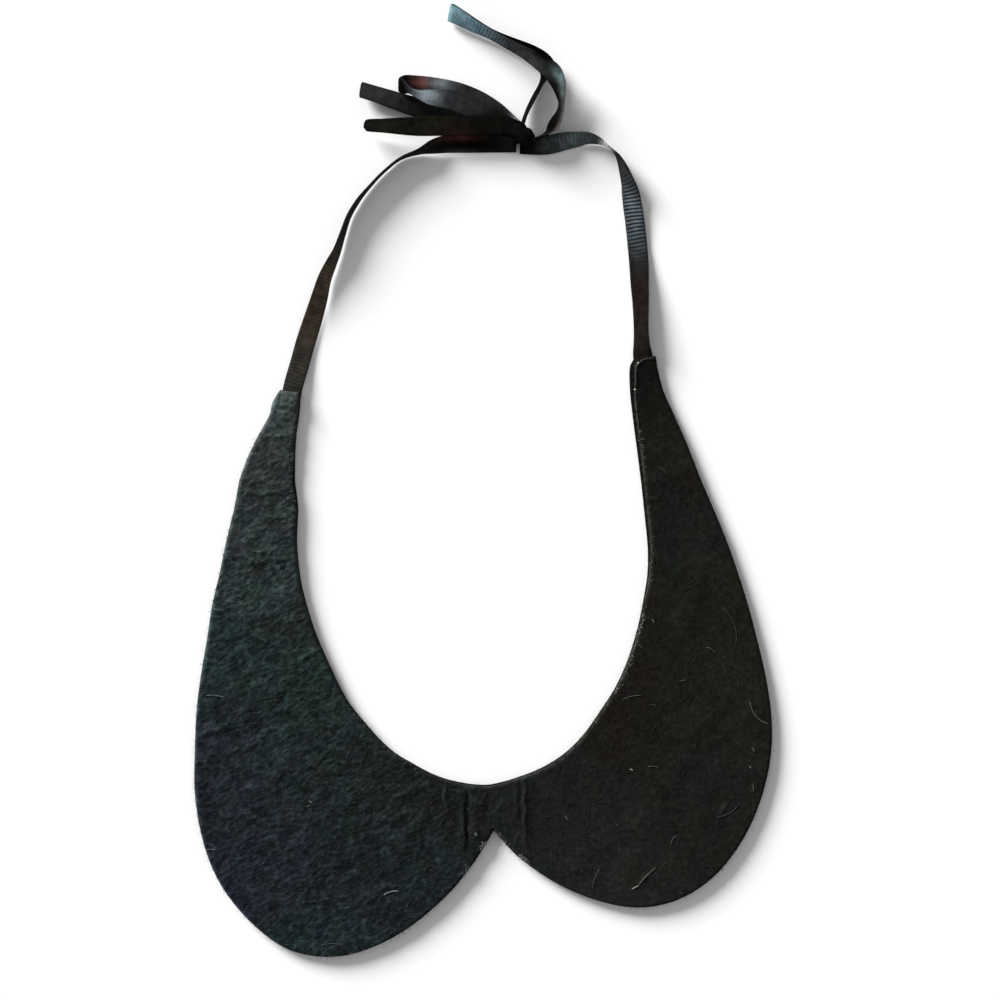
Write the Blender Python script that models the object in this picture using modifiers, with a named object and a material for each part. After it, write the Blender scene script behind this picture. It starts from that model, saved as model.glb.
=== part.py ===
"""Bib necklace: a felt collar with two round lobes, tied at the nape with grosgrain ribbon.

The necklace lies on its back on a flat surface, at z = 0. The lobes point to -Y and the bow to +Y.
The collar is two layers of felt, cut alike, with the ends of the ribbons held between them at the tips.
Each ribbon runs up one side of the neck to the knot, makes a loop there and ends in a tail.
Metres, +Z up. The tables below are in millimetres, because a maker's pattern is.
"""
import math

import bmesh
import bpy
from mathutils import Matrix, Vector

MM = 0.001

GAP = 0.0003            # between pieces that touch
FELT_WALL = 0.0016      # each layer of felt
RIBBON_WALL = 0.0010    # the ribbon, with its ribs
OUTER_REVEAL = 0.3      # mm, how far the back shows past the front all along the outer edge
ACROSS = 10             # quads from the neck edge to the outer edge of the front
BACK_ACROSS = 2         # and of the back, which is flat
COLLAR_STEP = 5.0       # mm between sections along the collar
RIBBON_STEP = 3.2       # mm between sections along a ribbon
FELT_ROUGHNESS = 0.95
RIBBON_ROUGHNESS = 0.55

KNOT_PLACE = (12.8, 114.5, 4.1)     # mm, middle of the knot
KNOT_SIZE = (12.4, 8.8, 7.4)        # mm, along, across and up
KNOT_TURN = -40.0                   # degrees, from +X
KNOT_ROUNDING = 0.0030              # radius of its edges
KNOT_ROUNDING_STEPS = 3

# Sections of the left half of the collar, from its tip to the bridge: a point on the neck edge, the
# point across from it on the outer edge, how far the back shows past the front there, and how far the
# front is lifted by the end of the ribbon under it (mm).
#   neck x   neck y   outer x   outer y  reveal  lift
LEFT_HALF = [
    (-60.7,   29.5,   -67.3,    30.0,    0.3,    1.3),
    (-60.7,   25.7,   -69.6,    26.1,    0.4,    1.3),
    (-61.1,   21.4,   -70.7,    21.8,    0.4,    1.3),
    (-62.0,   14.9,   -74.5,    14.9,    0.3,    0.0),
    (-62.4,    7.3,   -78.0,     7.6,    0.4,    0.0),
    (-62.4,    0.0,   -80.5,     0.7,    1.0,    0.0),
    (-61.4,   -9.2,   -82.3,    -8.6,    0.6,    0.0),
    (-61.8,  -19.5,   -84.9,   -19.5,    0.3,    0.0),
    (-60.7,  -31.7,   -87.4,   -31.4,    0.4,    0.0),
    (-58.5,  -41.2,   -89.7,   -41.2,    0.3,    0.0),
    (-55.2,  -51.2,   -91.3,   -51.8,    0.3,    0.0),
    (-50.6,  -61.7,   -93.3,   -63.7,    0.3,    0.0),
    (-45.3,  -72.3,   -94.8,   -75.6,    0.3,    0.0),
    (-39.4,  -79.9,   -95.4,   -88.8,    0.3,    0.0),
    (-33.8,  -86.1,   -95.4,  -103.6,    0.3,    0.0),
    (-28.8,  -90.4,   -92.5,  -120.1,    0.3,    0.0),
    (-24.2,  -93.1,   -86.6,  -134.0,    0.3,    0.0),
    (-19.6,  -95.7,   -76.3,  -146.5,    0.3,    0.0),
    (-15.3,  -97.7,   -63.5,  -155.3,    0.3,    0.0),
    (-11.3,  -99.0,   -47.0,  -157.1,    0.3,    0.0),
    ( -7.7,  -99.8,   -29.1,  -150.5,    0.3,    0.0),
    ( -4.1, -100.4,   -12.6,  -137.6,    0.3,    0.0),
    ( -1.7, -100.6,    -2.4,  -125.1,    0.3,    0.0),
    (  0.2, -100.7,     3.4,  -115.5,    0.3,    0.0),
]

# Sections of the right half, from its tip to the bridge, with the same columns.
#   neck x   neck y   outer x   outer y  reveal  lift
RIGHT_HALF = [
    ( 49.7,   40.1,    57.0,    41.2,    1.5,    1.3),
    ( 48.6,   37.6,    57.5,    37.6,    1.5,    1.3),
    ( 48.6,   30.4,    59.3,    30.4,    1.3,    1.3),
    ( 49.4,   22.4,    62.6,    22.8,    1.0,    0.0),
    ( 50.7,   12.2,    66.9,    13.2,    1.0,    0.0),
    ( 52.3,   -0.3,    72.0,     0.3,    1.0,    0.0),
    ( 53.5,  -11.6,    76.8,   -10.9,    0.9,    0.0),
    ( 54.5,  -22.1,    81.2,   -21.8,    0.8,    0.0),
    ( 54.4,  -30.7,    84.5,   -31.4,    0.5,    0.0),
    ( 53.2,  -38.6,    87.4,   -40.6,    0.3,    0.0),
    ( 51.1,  -48.8,    90.2,   -51.2,    0.3,    0.0),
    ( 47.8,  -59.4,    92.8,   -62.0,    0.3,    0.0),
    ( 43.6,  -68.6,    94.9,   -74.2,    0.3,    0.0),
    ( 38.8,  -76.1,    95.4,   -86.8,    0.3,    0.0),
    ( 33.2,  -84.0,    93.6,   -99.0,    0.3,    0.0),
    ( 27.3,  -89.9,    89.8,  -110.6,    0.3,    0.0),
    ( 21.7,  -93.7,    84.1,  -121.4,    0.3,    0.0),
    ( 16.7,  -96.2,    75.3,  -131.7,    0.3,    0.0),
    ( 12.4,  -97.8,    63.6,  -138.8,    0.3,    0.0),
    (  8.8,  -99.0,    50.4,  -141.0,    0.3,    0.0),
    (  5.8,  -99.8,    35.9,  -138.1,    0.3,    0.0),
    (  3.7, -100.3,    22.0,  -131.7,    0.3,    0.0),
    (  1.9, -100.6,    10.8,  -123.4,    0.3,    0.0),
    (  0.2, -100.7,     3.4,  -115.5,    0.3,    0.0),
]

# Soft puckers in the front layer, where it stands off the back: the middle of each, which way it runs
# (degrees), its length, how far it spreads to each side, and how high it rises (mm).
#     x       y      runs  length  spread  rise
PUCKERS = [
    (-66.5,   15.0,  -12,   14.0,   2.2,   0.6),
    (-72.0,   -2.0,  -16,   24.0,   2.6,   1.1),
    (-74.5,  -24.0,  -14,   27.0,   3.0,   0.9),
    (-76.0,  -46.0,   28,   26.0,   3.2,   0.6),
    (-72.0,  -72.0,   36,   34.0,   3.6,   0.8),
    (-70.0,  -98.0,   42,   38.0,   3.8,   0.7),
    (-48.0, -108.0,   38,   30.0,   3.4,   0.6),
    (-58.0, -132.0,   34,   36.0,   3.6,   0.8),
    (-24.0, -118.0,   58,   24.0,   3.0,   0.6),
    ( -2.6, -109.0,   88,   18.0,   2.2,   0.8),
    ( 13.4, -111.0,   92,   24.0,   2.2,   0.8),
    ( 62.0,    2.0,   20,   16.0,   2.6,   0.5),
    ( 70.0,  -36.0,   76,   34.0,   3.4,   0.5),
    ( 66.0,  -92.0,   62,   40.0,   4.0,   0.6),
    ( 42.0, -118.0,   30,   30.0,   3.6,   0.5),
]

# The ribbons, each row a section on its way: the middle of the ribbon, the height of its lowest edge
# above the surface, which way its width points (degrees from +X), how far that width leans up from flat
# (degrees, 90 stands on edge), and how wide the gathers leave it (mm).
#      x      y     low  width to  lean  wide
STRAP_LEFT = [
    (-64.1,  24.8,  1.9,   166,     0,   6.4),
    (-63.0,  30.4,  1.9,   165,     0,   6.4),
    (-62.3,  33.3,  1.7,   164,     0,   6.4),
    (-60.7,  38.9,  0.9,   164,     2,   6.4),
    (-58.9,  45.5,  0.4,   163,     8,   6.4),
    (-55.7,  55.4,  0.3,   162,    25,   6.4),
    (-54.1,  60.7,  0.3,   162,    36,   6.4),
    (-52.4,  66.7,  0.3,   160,    49,   6.4),
    (-50.3,  71.6,  0.3,   157,    58,   6.4),
    (-48.3,  75.9,  0.3,   157,    68,   6.4),
    (-46.4,  81.5,  0.3,   160,    75,   6.4),
    (-44.3,  87.5,  0.3,   156,    80,   6.4),
    (-41.2,  92.7,  0.3,   144,    80,   6.4),
    (-37.7,  96.9,  0.3,   138,    82,   6.4),
    (-32.8, 102.0,  0.3,   134,    86,   6.4),
    (-27.2, 106.4,  0.3,   122,    84,   6.4),
    (-20.9, 108.8,  0.3,   106,    78,   6.4),
    (-16.9, 109.8,  0.3,   101,    60,   6.4),
    (-12.3, 110.6,  0.3,    95,    42,   6.4),
    ( -4.4, 110.8,  0.3,    90,    36,   6.4),
    (  5.5, 110.8,  0.3,    89,    35,   6.0),
    ( 11.0, 110.9,  0.4,    88,    32,   5.4),
]

STRAP_RIGHT = [
    ( 53.4,  35.3,  1.9,     2,     0,   6.4),
    ( 52.7,  40.9,  1.9,     3,     0,   6.4),
    ( 52.3,  44.6,  1.6,     2,     4,   6.4),
    ( 52.1,  49.8,  0.7,     1,    16,   6.4),
    ( 52.0,  58.1,  0.3,     1,    30,   6.4),
    ( 51.7,  64.7,  0.3,     2,    24,   6.4),
    ( 51.5,  71.0,  0.3,     3,    12,   6.4),
    ( 50.9,  78.5,  0.3,     6,     5,   6.4),
    ( 50.1,  85.8,  0.3,     8,    10,   6.4),
    ( 49.4,  90.4,  0.3,     9,    16,   6.4),
    ( 48.7,  94.7,  0.3,    12,    28,   6.4),
    ( 47.8,  98.3,  0.3,    16,    46,   6.4),
    ( 46.5, 102.3,  0.3,    21,    58,   6.4),
    ( 44.6, 106.8,  0.3,    30,    76,   6.4),
    ( 43.1, 108.7,  0.3,    40,    86,   6.4),
    ( 40.8, 110.7,  0.3,    52,    86,   6.4),
    ( 38.2, 112.2,  0.3,    64,    70,   6.4),
    ( 34.6, 113.1,  0.3,    80,    56,   6.4),
    ( 31.3, 112.8,  0.3,    92,    45,   6.4),
    ( 27.3, 112.3,  0.3,    98,    32,   6.4),
    ( 22.7, 111.4,  0.3,    99,    18,   6.4),
    ( 18.7, 110.6,  0.3,    96,    16,   5.6),
    ( 12.0, 110.4,  0.4,    88,    16,   4.6),
]

LOOP_LEFT = [
    ( 12.1, 116.2,  1.7,    55,     2,   4.0),
    (  8.2, 119.5,  1.7,    58,     2,   4.6),
    (  4.5, 122.1,  1.7,    60,     4,   5.8),
    ( -1.1, 125.4,  1.3,    64,     8,   6.4),
    ( -7.0, 128.0,  0.9,    70,    20,   6.4),
    (-12.6, 129.7,  0.6,    78,    34,   6.4),
    (-18.2, 130.8,  0.5,    84,    42,   6.4),
    (-23.2, 131.2,  0.5,    87,    42,   6.4),
    (-25.8, 131.2,  0.9,    87,    38,   6.4),
    (-27.0, 130.8,  1.8,    86,    36,   6.4),
    (-26.1, 130.0,  2.4,    85,    44,   6.4),
    (-24.4, 128.9,  2.6,    82,    64,   6.4),
    (-21.9, 127.8,  2.4,    78,    76,   6.4),
    (-18.6, 127.1,  2.4,    76,    70,   6.4),
    (-15.3, 126.5,  2.9,    73,    50,   6.4),
    (-11.6, 125.9,  3.6,    70,    22,   6.4),
    ( -7.4, 124.4,  3.9,    66,     6,   6.4),
    ( -2.4, 122.4,  3.7,    62,     3,   6.4),
    (  2.5, 120.1,  3.6,    60,     2,   6.2),
    (  7.5, 117.8,  3.5,    57,     2,   5.2),
    ( 12.1, 115.5,  3.5,    55,     2,   4.0),
]

LOOP_RIGHT = [
    ( 15.7, 112.9,  3.3,   -50,    96,   4.2),
    ( 19.0, 114.7,  3.1,   -48,   104,   4.6),
    ( 21.7, 116.7,  2.2,   -42,   118,   5.6),
    ( 23.7, 119.0,  1.6,   -30,   122,   6.4),
    ( 25.0, 121.8,  1.3,   -18,   112,   6.4),
    ( 25.6, 124.7,  1.6,    -6,    84,   6.4),
    ( 25.4, 127.7,  2.8,     6,    62,   6.4),
    ( 24.3, 131.3,  5.9,    20,    38,   6.4),
    ( 22.3, 134.6,  6.9,    34,    24,   6.4),
    ( 18.7, 137.9,  6.2,    48,    32,   6.4),
    ( 14.1, 140.8,  4.4,    56,    52,   6.4),
    (  8.2, 143.9,  3.0,    60,    62,   6.4),
    (  2.2, 147.3,  2.4,    60,    62,   6.4),
    ( -3.1, 150.0,  2.2,    64,    54,   6.4),
    ( -7.7, 152.7,  2.1,    70,    45,   6.4),
    (-10.2, 153.9,  1.9,    75,    41,   6.4),
    (-11.2, 154.5,  1.3,    76,    40,   6.4),
    (-10.3, 154.7,  0.6,    75,    41,   6.4),
    ( -7.1, 153.7,  0.4,    70,    45,   6.4),
    ( -2.3, 151.3,  0.4,    64,    54,   6.4),
    (  3.0, 148.5,  0.4,    60,    62,   6.4),
    (  9.0, 145.2,  0.4,    60,    62,   6.4),
    ( 15.4, 141.9,  0.4,    54,    54,   6.4),
    ( 19.6, 138.9,  0.3,    40,    36,   6.4),
    ( 21.2, 136.3,  0.3,    16,    34,   6.4),
    ( 20.6, 133.7,  0.3,    -6,    40,   6.4),
    ( 19.1, 131.0,  0.3,   -18,    60,   6.4),
    ( 17.4, 127.9,  0.4,   -23,    80,   6.4),
    ( 15.2, 123.6,  0.8,   -25,    90,   6.0),
    ( 13.8, 120.5,  1.3,   -25,    90,   5.2),
    ( 12.9, 117.5,  1.8,   -25,    90,   4.6),
]

TAIL_UPPER = [
    ( 12.1, 113.9,  0.4,    76,     0,   5.0),
    (  7.5, 115.3,  0.3,    78,     0,   6.0),
    (  1.6, 116.5,  0.3,    79,    -4,   6.4),
    ( -6.4, 118.5,  0.3,    76,   -14,   6.4),
    (-14.3, 120.6,  0.3,    73,   -22,   6.4),
    (-21.5, 122.8,  0.3,    72,   -27,   6.4),
    (-28.8, 125.2,  0.3,    72,   -31,   6.4),
    (-35.1, 127.3,  0.3,    76,   -32,   6.4),
    (-40.2, 129.0,  0.3,    83,   -32,   6.4),
]

TAIL_LOWER = [
    ( 12.8, 115.5,  5.6,    88,     0,   5.0),
    (  8.2, 116.7,  5.6,    89,     0,   6.0),
    (  2.2, 117.2,  5.5,    90,     0,   6.4),
    ( -6.0, 117.0,  5.4,    90,     0,   6.4),
    (-14.3, 116.8,  5.0,    90,     6,   6.4),
    (-20.9, 116.7,  4.2,    90,    18,   6.4),
    (-27.5, 116.8,  3.3,    89,    38,   6.4),
    (-33.4, 117.0,  2.6,    88,    52,   6.4),
    (-37.7, 117.1,  2.2,    86,    58,   6.4),
    (-39.6, 117.1,  2.1,    86,    60,   5.4),
]


def clear_scene():
    """Remove whatever the open file holds."""
    for thing in list(bpy.data.objects):
        bpy.data.objects.remove(thing, do_unlink=True)
    for group in list(bpy.data.collections):
        bpy.data.collections.remove(group)


def cloth(name, colour, roughness):
    """A plain fabric material."""
    material = bpy.data.materials.new(name)
    material.use_nodes = True
    shader = material.node_tree.nodes["Principled BSDF"]
    shader.inputs["Base Color"].default_value = (*colour, 1.0)
    shader.inputs["Roughness"].default_value = roughness
    shader.inputs["Metallic"].default_value = 0.0
    return material


def smooth_rows(rows, points, step):
    """Rows read about step mm apart from the smooth curve through a table's rows.

    points lists the slices of a row that hold a place; the one that moves most sets the spacing.
    """
    reach = [max(math.dist(a[s], b[s]) for s in points) for a, b in zip(rows, rows[1:])]
    way = [0.0]
    for length in reach:
        way.append(way[-1] + length)
    last = len(rows) - 1
    slopes = []
    for i in range(last + 1):
        a, b = max(i - 1, 0), min(i + 1, last)
        slopes.append([(end - start) / (way[b] - way[a]) for start, end in zip(rows[a], rows[b])])
    out = []
    for i, length in enumerate(reach):
        count = max(1, round(length / step))
        for k in range(count):
            t = k / count
            start = 2 * t**3 - 3 * t**2 + 1
            end = 3 * t**2 - 2 * t**3
            leave = (t**3 - 2 * t**2 + t) * length
            arrive = (t**3 - t**2) * length
            out.append([start * a + end * b + leave * m + arrive * n for a, b, m, n
                        in zip(rows[i], rows[i + 1], slopes[i], slopes[i + 1])])
    out.append(list(rows[-1]))
    return out


def pucker_rise(x, y):
    """How far the puckers lift the front layer at a place, in mm."""
    rise = 0.0
    for middle_x, middle_y, runs, length, spread, height in PUCKERS:
        turn = math.radians(runs)
        along = (x - middle_x) * math.cos(turn) + (y - middle_y) * math.sin(turn)
        beside = (y - middle_y) * math.cos(turn) - (x - middle_x) * math.sin(turn)
        rise += height * math.exp(-(beside / spread)**2 - (2.0 * along / length)**4)
    return rise


def collar_sections(inset):
    """The collar's sections from the left tip to the right tip, drawn in by inset times the reveal.

    Each is the point on the neck edge, the point on the outer edge and the lift (mm).
    """
    both_edges = (slice(0, 2), slice(2, 4))
    left = smooth_rows(LEFT_HALF, both_edges, COLLAR_STEP)
    right = smooth_rows(RIGHT_HALF, both_edges, COLLAR_STEP)
    rows = left + right[-2::-1]
    sections = []
    for row in rows:
        neck = Vector(row[0:2])
        outer = Vector(row[2:4])
        reveal, lift = row[4], max(row[5], 0.0)
        inward = (outer - neck).normalized()
        sections.append([neck + inward * reveal * inset, outer - inward * OUTER_REVEAL * inset, lift])
    for tip, inner, row in ((0, 1, rows[0]), (-1, -2, rows[-1])):
        for edge in (0, 1):
            back_off = (sections[inner][edge] - sections[tip][edge]).normalized()
            sections[tip][edge] += back_off * row[4] * inset
    return sections


def grid_mesh(name, grid):
    """A mesh whose faces join the points of neighbouring rows."""
    mesh = bpy.data.meshes.new(name)
    shape = bmesh.new()
    verts = [[shape.verts.new(point) for point in row] for row in grid]
    for here, there in zip(verts, verts[1:]):
        for a, b, c, d in zip(here, here[1:], there[1:], there):
            shape.faces.new((a, b, c, d))
    shape.to_mesh(mesh)
    shape.free()
    mesh.shade_smooth()
    return mesh


def place(name, mesh, material, group):
    """An object for a mesh, in its collection and with its material."""
    thing = bpy.data.objects.new(name, mesh)
    group.objects.link(thing)
    mesh.materials.append(material)
    return thing


def wall(thing, thickness, side):
    """Give an open surface its thickness: all on the face side (1), or half on each side (0)."""
    solid = thing.modifiers.new("wall", "SOLIDIFY")
    solid.thickness = thickness
    solid.offset = side


def felt_layer(name, inset, underside, across, lifted, material, group):
    """One layer of the collar: its underside at a height, with its wall above that.

    inset is 0 for the full pattern and 1 for the pattern drawn in by the reveal.
    """
    grid = []
    for neck, outer, lift in collar_sections(inset):
        row = []
        for k in range(across + 1):
            spot = neck.lerp(outer, k / across)
            rise = (lift + pucker_rise(*spot)) if lifted else 0.0
            row.append((spot.x * MM, spot.y * MM, underside + rise * MM))
        grid.append(row)
    wall(place(name, grid_mesh(name, grid), material, group), FELT_WALL, 1)


def ribbon(name, table, material, group, knot_room):
    """A length of ribbon through its sections, cut off where it enters the knot."""
    grid = []
    for x, y, low, points_to, lean, wide in smooth_rows(table, (slice(0, 3),), RIBBON_STEP):
        turn = math.radians(points_to)
        tilt = math.radians(lean)
        half = Vector((math.cos(tilt) * math.cos(turn), math.cos(tilt) * math.sin(turn),
                       math.sin(tilt))) * wide * MM / 2.0
        rest = abs(half.z) + abs(math.cos(tilt)) * RIBBON_WALL / 2.0
        middle = Vector((x * MM, y * MM, low * MM + rest))
        grid.append([middle - half, middle, middle + half])
    length = place(name, grid_mesh(name, grid), material, group)
    wall(length, RIBBON_WALL, 0)
    trim = length.modifiers.new("knot_room", "BOOLEAN")
    trim.operation = "DIFFERENCE"
    trim.solver = "EXACT"
    trim.object = knot_room


def knot_block(name, grow, group):
    """The rounded lump of the knot, grown by a distance on every side."""
    bpy.ops.mesh.primitive_cube_add(size=1.0)
    block = bpy.context.object
    block.name = name
    block.data.name = name
    for other in list(block.users_collection):
        other.objects.unlink(block)
    group.objects.link(block)
    block.data.transform(Matrix.Diagonal([side * MM + 2.0 * grow for side in KNOT_SIZE] + [1.0]))
    block.location = [at * MM for at in KNOT_PLACE]
    block.rotation_euler.z = math.radians(KNOT_TURN)
    rounding = block.modifiers.new("rounding", "BEVEL")
    rounding.width = KNOT_ROUNDING + grow
    rounding.segments = KNOT_ROUNDING_STEPS
    rounding.limit_method = "NONE"
    block.data.shade_smooth()
    return block


def main():
    clear_scene()
    necklace = bpy.data.collections.new("bib_necklace")
    cutters = bpy.data.collections.new("cutters")
    for group in (necklace, cutters):
        bpy.context.scene.collection.children.link(group)

    back_felt = cloth("felt_back", (0.022, 0.025, 0.024), FELT_ROUGHNESS)
    front_felt = cloth("felt_front", (0.016, 0.020, 0.020), FELT_ROUGHNESS)
    felt_layer("collar_back", inset=0.0, underside=0.0, across=BACK_ACROSS, lifted=False,
               material=back_felt, group=necklace)
    felt_layer("collar_front", inset=1.0, underside=FELT_WALL + GAP, across=ACROSS, lifted=True,
               material=front_felt, group=necklace)

    knot_room = knot_block("knot_room", GAP, cutters)
    knot_room.hide_render = True
    knot_room.display_type = "WIRE"
    knot = knot_block("bow_knot", 0.0, necklace)
    knot.data.materials.append(cloth("ribbon_knot", (0.022, 0.020, 0.017), RIBBON_ROUGHNESS))

    lengths = [
        ("strap_left", STRAP_LEFT, (0.030, 0.024, 0.020)),
        ("strap_right", STRAP_RIGHT, (0.030, 0.027, 0.025)),
        ("bow_loop_left", LOOP_LEFT, (0.032, 0.034, 0.037)),
        ("bow_loop_right", LOOP_RIGHT, (0.034, 0.042, 0.047)),
        ("bow_tail_upper", TAIL_UPPER, (0.024, 0.024, 0.025)),
        ("bow_tail_lower", TAIL_LOWER, (0.020, 0.018, 0.015)),
    ]
    for name, table, colour in lengths:
        material = cloth(f"ribbon_{name}", colour, RIBBON_ROUGHNESS)
        ribbon(name, table, material, necklace, knot_room)


main()
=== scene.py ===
"""Bib necklace: a felt collar with two round lobes, tied at the nape with grosgrain ribbon.

It lies on its back, lobes towards -Y and bow towards +Y. The tables are in millimetres, the meshes
in metres.
"""
import math
import random

import bmesh
import bpy
import numpy as np
from mathutils import Matrix, Vector, kdtree, noise
from mathutils.geometry import delaunay_2d_cdt


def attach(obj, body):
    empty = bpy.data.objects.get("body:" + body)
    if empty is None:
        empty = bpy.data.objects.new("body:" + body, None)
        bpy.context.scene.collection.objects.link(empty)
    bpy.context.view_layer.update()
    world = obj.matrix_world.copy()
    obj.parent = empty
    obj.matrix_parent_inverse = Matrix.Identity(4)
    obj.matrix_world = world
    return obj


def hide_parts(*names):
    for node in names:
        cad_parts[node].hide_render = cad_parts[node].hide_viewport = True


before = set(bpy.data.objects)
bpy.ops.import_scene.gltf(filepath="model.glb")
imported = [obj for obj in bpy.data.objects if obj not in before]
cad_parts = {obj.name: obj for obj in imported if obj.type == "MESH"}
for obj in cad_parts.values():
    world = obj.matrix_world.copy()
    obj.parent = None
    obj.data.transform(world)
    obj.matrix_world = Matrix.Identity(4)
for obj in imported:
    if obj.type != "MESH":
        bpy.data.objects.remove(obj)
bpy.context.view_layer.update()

# Camera
# The necklace was photographed lying flat, from straight above. A long lens held well back keeps the
# raised bow from spreading outwards.
VIEW_MIDDLE = (0.0055, -0.0063)     # metres
VIEW_SIDE = 0.330                   # surface across the picture
VIEW_HEIGHT = 0.9035
FACE_HEIGHT = 0.0035                # the felt's face, where the picture's scale holds
SENSOR = 36.0                       # mm


def placed(name, data):
    """A new object in the scene."""
    thing = bpy.data.objects.new(name, data)
    bpy.context.scene.collection.objects.link(thing)
    return thing


lens = bpy.data.cameras.new("overhead_lens")
lens.sensor_width = SENSOR
lens.lens = SENSOR * (VIEW_HEIGHT - FACE_HEIGHT) / VIEW_SIDE
camera = placed("overhead_camera", lens)
camera.location = (*VIEW_MIDDLE, VIEW_HEIGHT)
bpy.context.scene.camera = camera
bpy.context.scene.view_settings.view_transform = "Standard"

# Ribbons
# Black grosgrain, woven with a thick weft that stands up as ribs across its width, 6.4 mm wide with woven
# edges. Each of the two lengths starts between the felts at a tip, and is tied to the other in a bow.
MM = 0.001
RIBBON_WIDE = 6.4         # mm
SOLID_WALL = 1.0          # mm, the ribbon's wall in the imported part
WEAVE = 0.42              # mm, the woven ribbon without its ribs
RIB_PITCH = 1.25          # mm, from rib to rib
RIB_STRAY = 0.10          # mm, how far a rib strays from its place
RIB_BOW = 0.14            # how far it bows across the ribbon, in pitches
RIB_END = 0.012           # how far its ends stand out of the woven edge, in half widths
FAINT_RIB = 0.2           # how high it stands where it doesn't show clearly, in full heights
CREPE = 0.12              # mm, how far the ribbon waves out of true
GATHER_REACH = 14.0       # mm, how far a gather reaches from the ribbon's end
GATHER_FOLD = 1.3         # mm, how high it folds for each share of the width that it takes up
WARP_TURN = 24.0          # radians of the warp threads' wave for each mm across
FULL_SPREAD = 6.0         # mm, the spread of a patch of tone that covers the ribbon's width
CREST_MIDDLE = 0.46       # how far up a rib its painted rib light is neither raised nor lowered
CREST_HIGH = 0.16         # mm, the height of a rib whose crest has the full painted difference of light and shade
PATH_STEP = 0.4           # mm between the rows read off a ribbon's curve
ROWS_A_RIB = 6
POINTS_ACROSS = 13

# The rows are places along a ribbon: the middle of its width, the height of its lowest edge above the
# surface, which way its width points (degrees from +X), how far the width leans up (degrees) and, where
# it isn't flat and full, how wide the gathers and folds leave it.
#        x      y  low turn lean wide
TIE_LEFT = [
    (-64.1,  24.8, 1.9, 166,   0),
    (-63.0,  30.4, 1.9, 165,   0),
    (-62.3,  33.3, 1.7, 164,   0),
    (-60.7,  38.9, 0.9, 164,   2),
    (-58.9,  45.5, 0.4, 163,   8),
    (-55.7,  55.4, 0.3, 162,  25),
    (-54.1,  60.7, 0.3, 162,  36),
    (-52.4,  66.7, 0.3, 160,  49),
    (-50.3,  71.6, 0.3, 157,  58),
    (-48.3,  75.9, 0.3, 157,  68),
    (-46.4,  81.5, 0.3, 160,  75),
    (-44.3,  87.5, 0.3, 156,  80),
    (-41.2,  92.7, 0.3, 144,  83),
    (-37.7,  96.9, 0.3, 138,  87),
    (-32.8, 102.0, 0.3, 134,  89),
    (-27.2, 106.4, 0.3, 122,  88),
    (-20.9, 108.8, 0.3, 106,  78),
    (-16.9, 110.3, 0.3, 101,  52),
    (-12.3, 111.3, 0.3,  95,  32),
    ( -4.4, 111.5, 0.3,  90,  26),
    (  5.5, 111.3, 0.3,  89,  30, 6.0),
    ( 11.0, 111.0, 0.4,  88,  30, 5.4),
]

TIE_RIGHT = [
    ( 53.4,  35.3, 1.9,   2,   0),
    ( 52.7,  40.9, 1.9,   3,   8),
    ( 52.3,  44.6, 1.4,   2,  34),
    ( 52.1,  49.8, 0.7,   1,  44),
    ( 52.0,  58.1, 0.3,   1,  36),
    ( 51.7,  64.7, 0.3,   2,  25),
    ( 51.5,  71.0, 0.3,   3,  12),
    ( 50.9,  78.5, 0.3,   6,   5),
    ( 50.1,  85.8, 0.3,   8,  10),
    ( 49.4,  90.4, 0.3,   9,  16),
    ( 48.7,  94.7, 0.3,  12,  28),
    ( 47.8,  98.3, 0.3,  16,  48),
    ( 46.5, 102.3, 0.3,  21,  62),
    ( 44.6, 106.8, 0.3,  30,  81),
    ( 43.1, 108.7, 0.3,  40,  89),
    ( 40.8, 110.7, 0.3,  52,  88),
    ( 38.2, 112.2, 0.3,  64,  76),
    ( 34.6, 113.1, 0.3,  80,  59),
    ( 31.3, 112.8, 0.3,  92,  45),
    ( 27.3, 112.3, 0.3,  98,  32),
    ( 22.7, 111.4, 0.3,  99,  18),
    ( 18.7, 110.6, 0.3,  96,  16, 5.6),
    ( 12.0, 110.4, 0.4,  88,  16, 4.6),
]

LOOP_LEFT = [
    ( 12.1, 116.2, 1.7,  55,   2, 4.0),
    (  8.2, 119.5, 1.7,  58,   2, 4.6),
    (  4.5, 122.1, 1.7,  60,   4, 5.8),
    ( -1.1, 125.4, 1.3,  64,   8),
    ( -7.0, 128.0, 0.9,  70,  20),
    (-12.6, 129.7, 0.6,  78,  34),
    (-18.2, 130.8, 0.5,  84,  42),
    (-23.2, 131.2, 0.5,  87,  42),
    (-26.0, 131.2, 0.9,  87,  38, 6.2),
    (-27.9, 130.8, 1.8,  86,  30, 4.6),
    (-26.5, 130.0, 2.4,  85,  44, 6.0),
    (-24.6, 128.8, 2.6,  82,  74),
    (-21.9, 127.4, 2.4,  78,  74),
    (-18.6, 126.6, 2.4,  76,  55),
    (-15.3, 126.1, 2.9,  73,  40),
    (-11.6, 125.8, 3.6,  70,  16),
    ( -7.4, 124.4, 3.9,  66,   6),
    ( -2.4, 122.4, 3.7,  62,   3),
    (  2.5, 120.1, 3.6,  60,   2, 6.2),
    (  7.5, 117.8, 3.5,  57,   2, 5.2),
    ( 12.1, 115.5, 3.5,  55,   2, 4.0),
]

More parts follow.
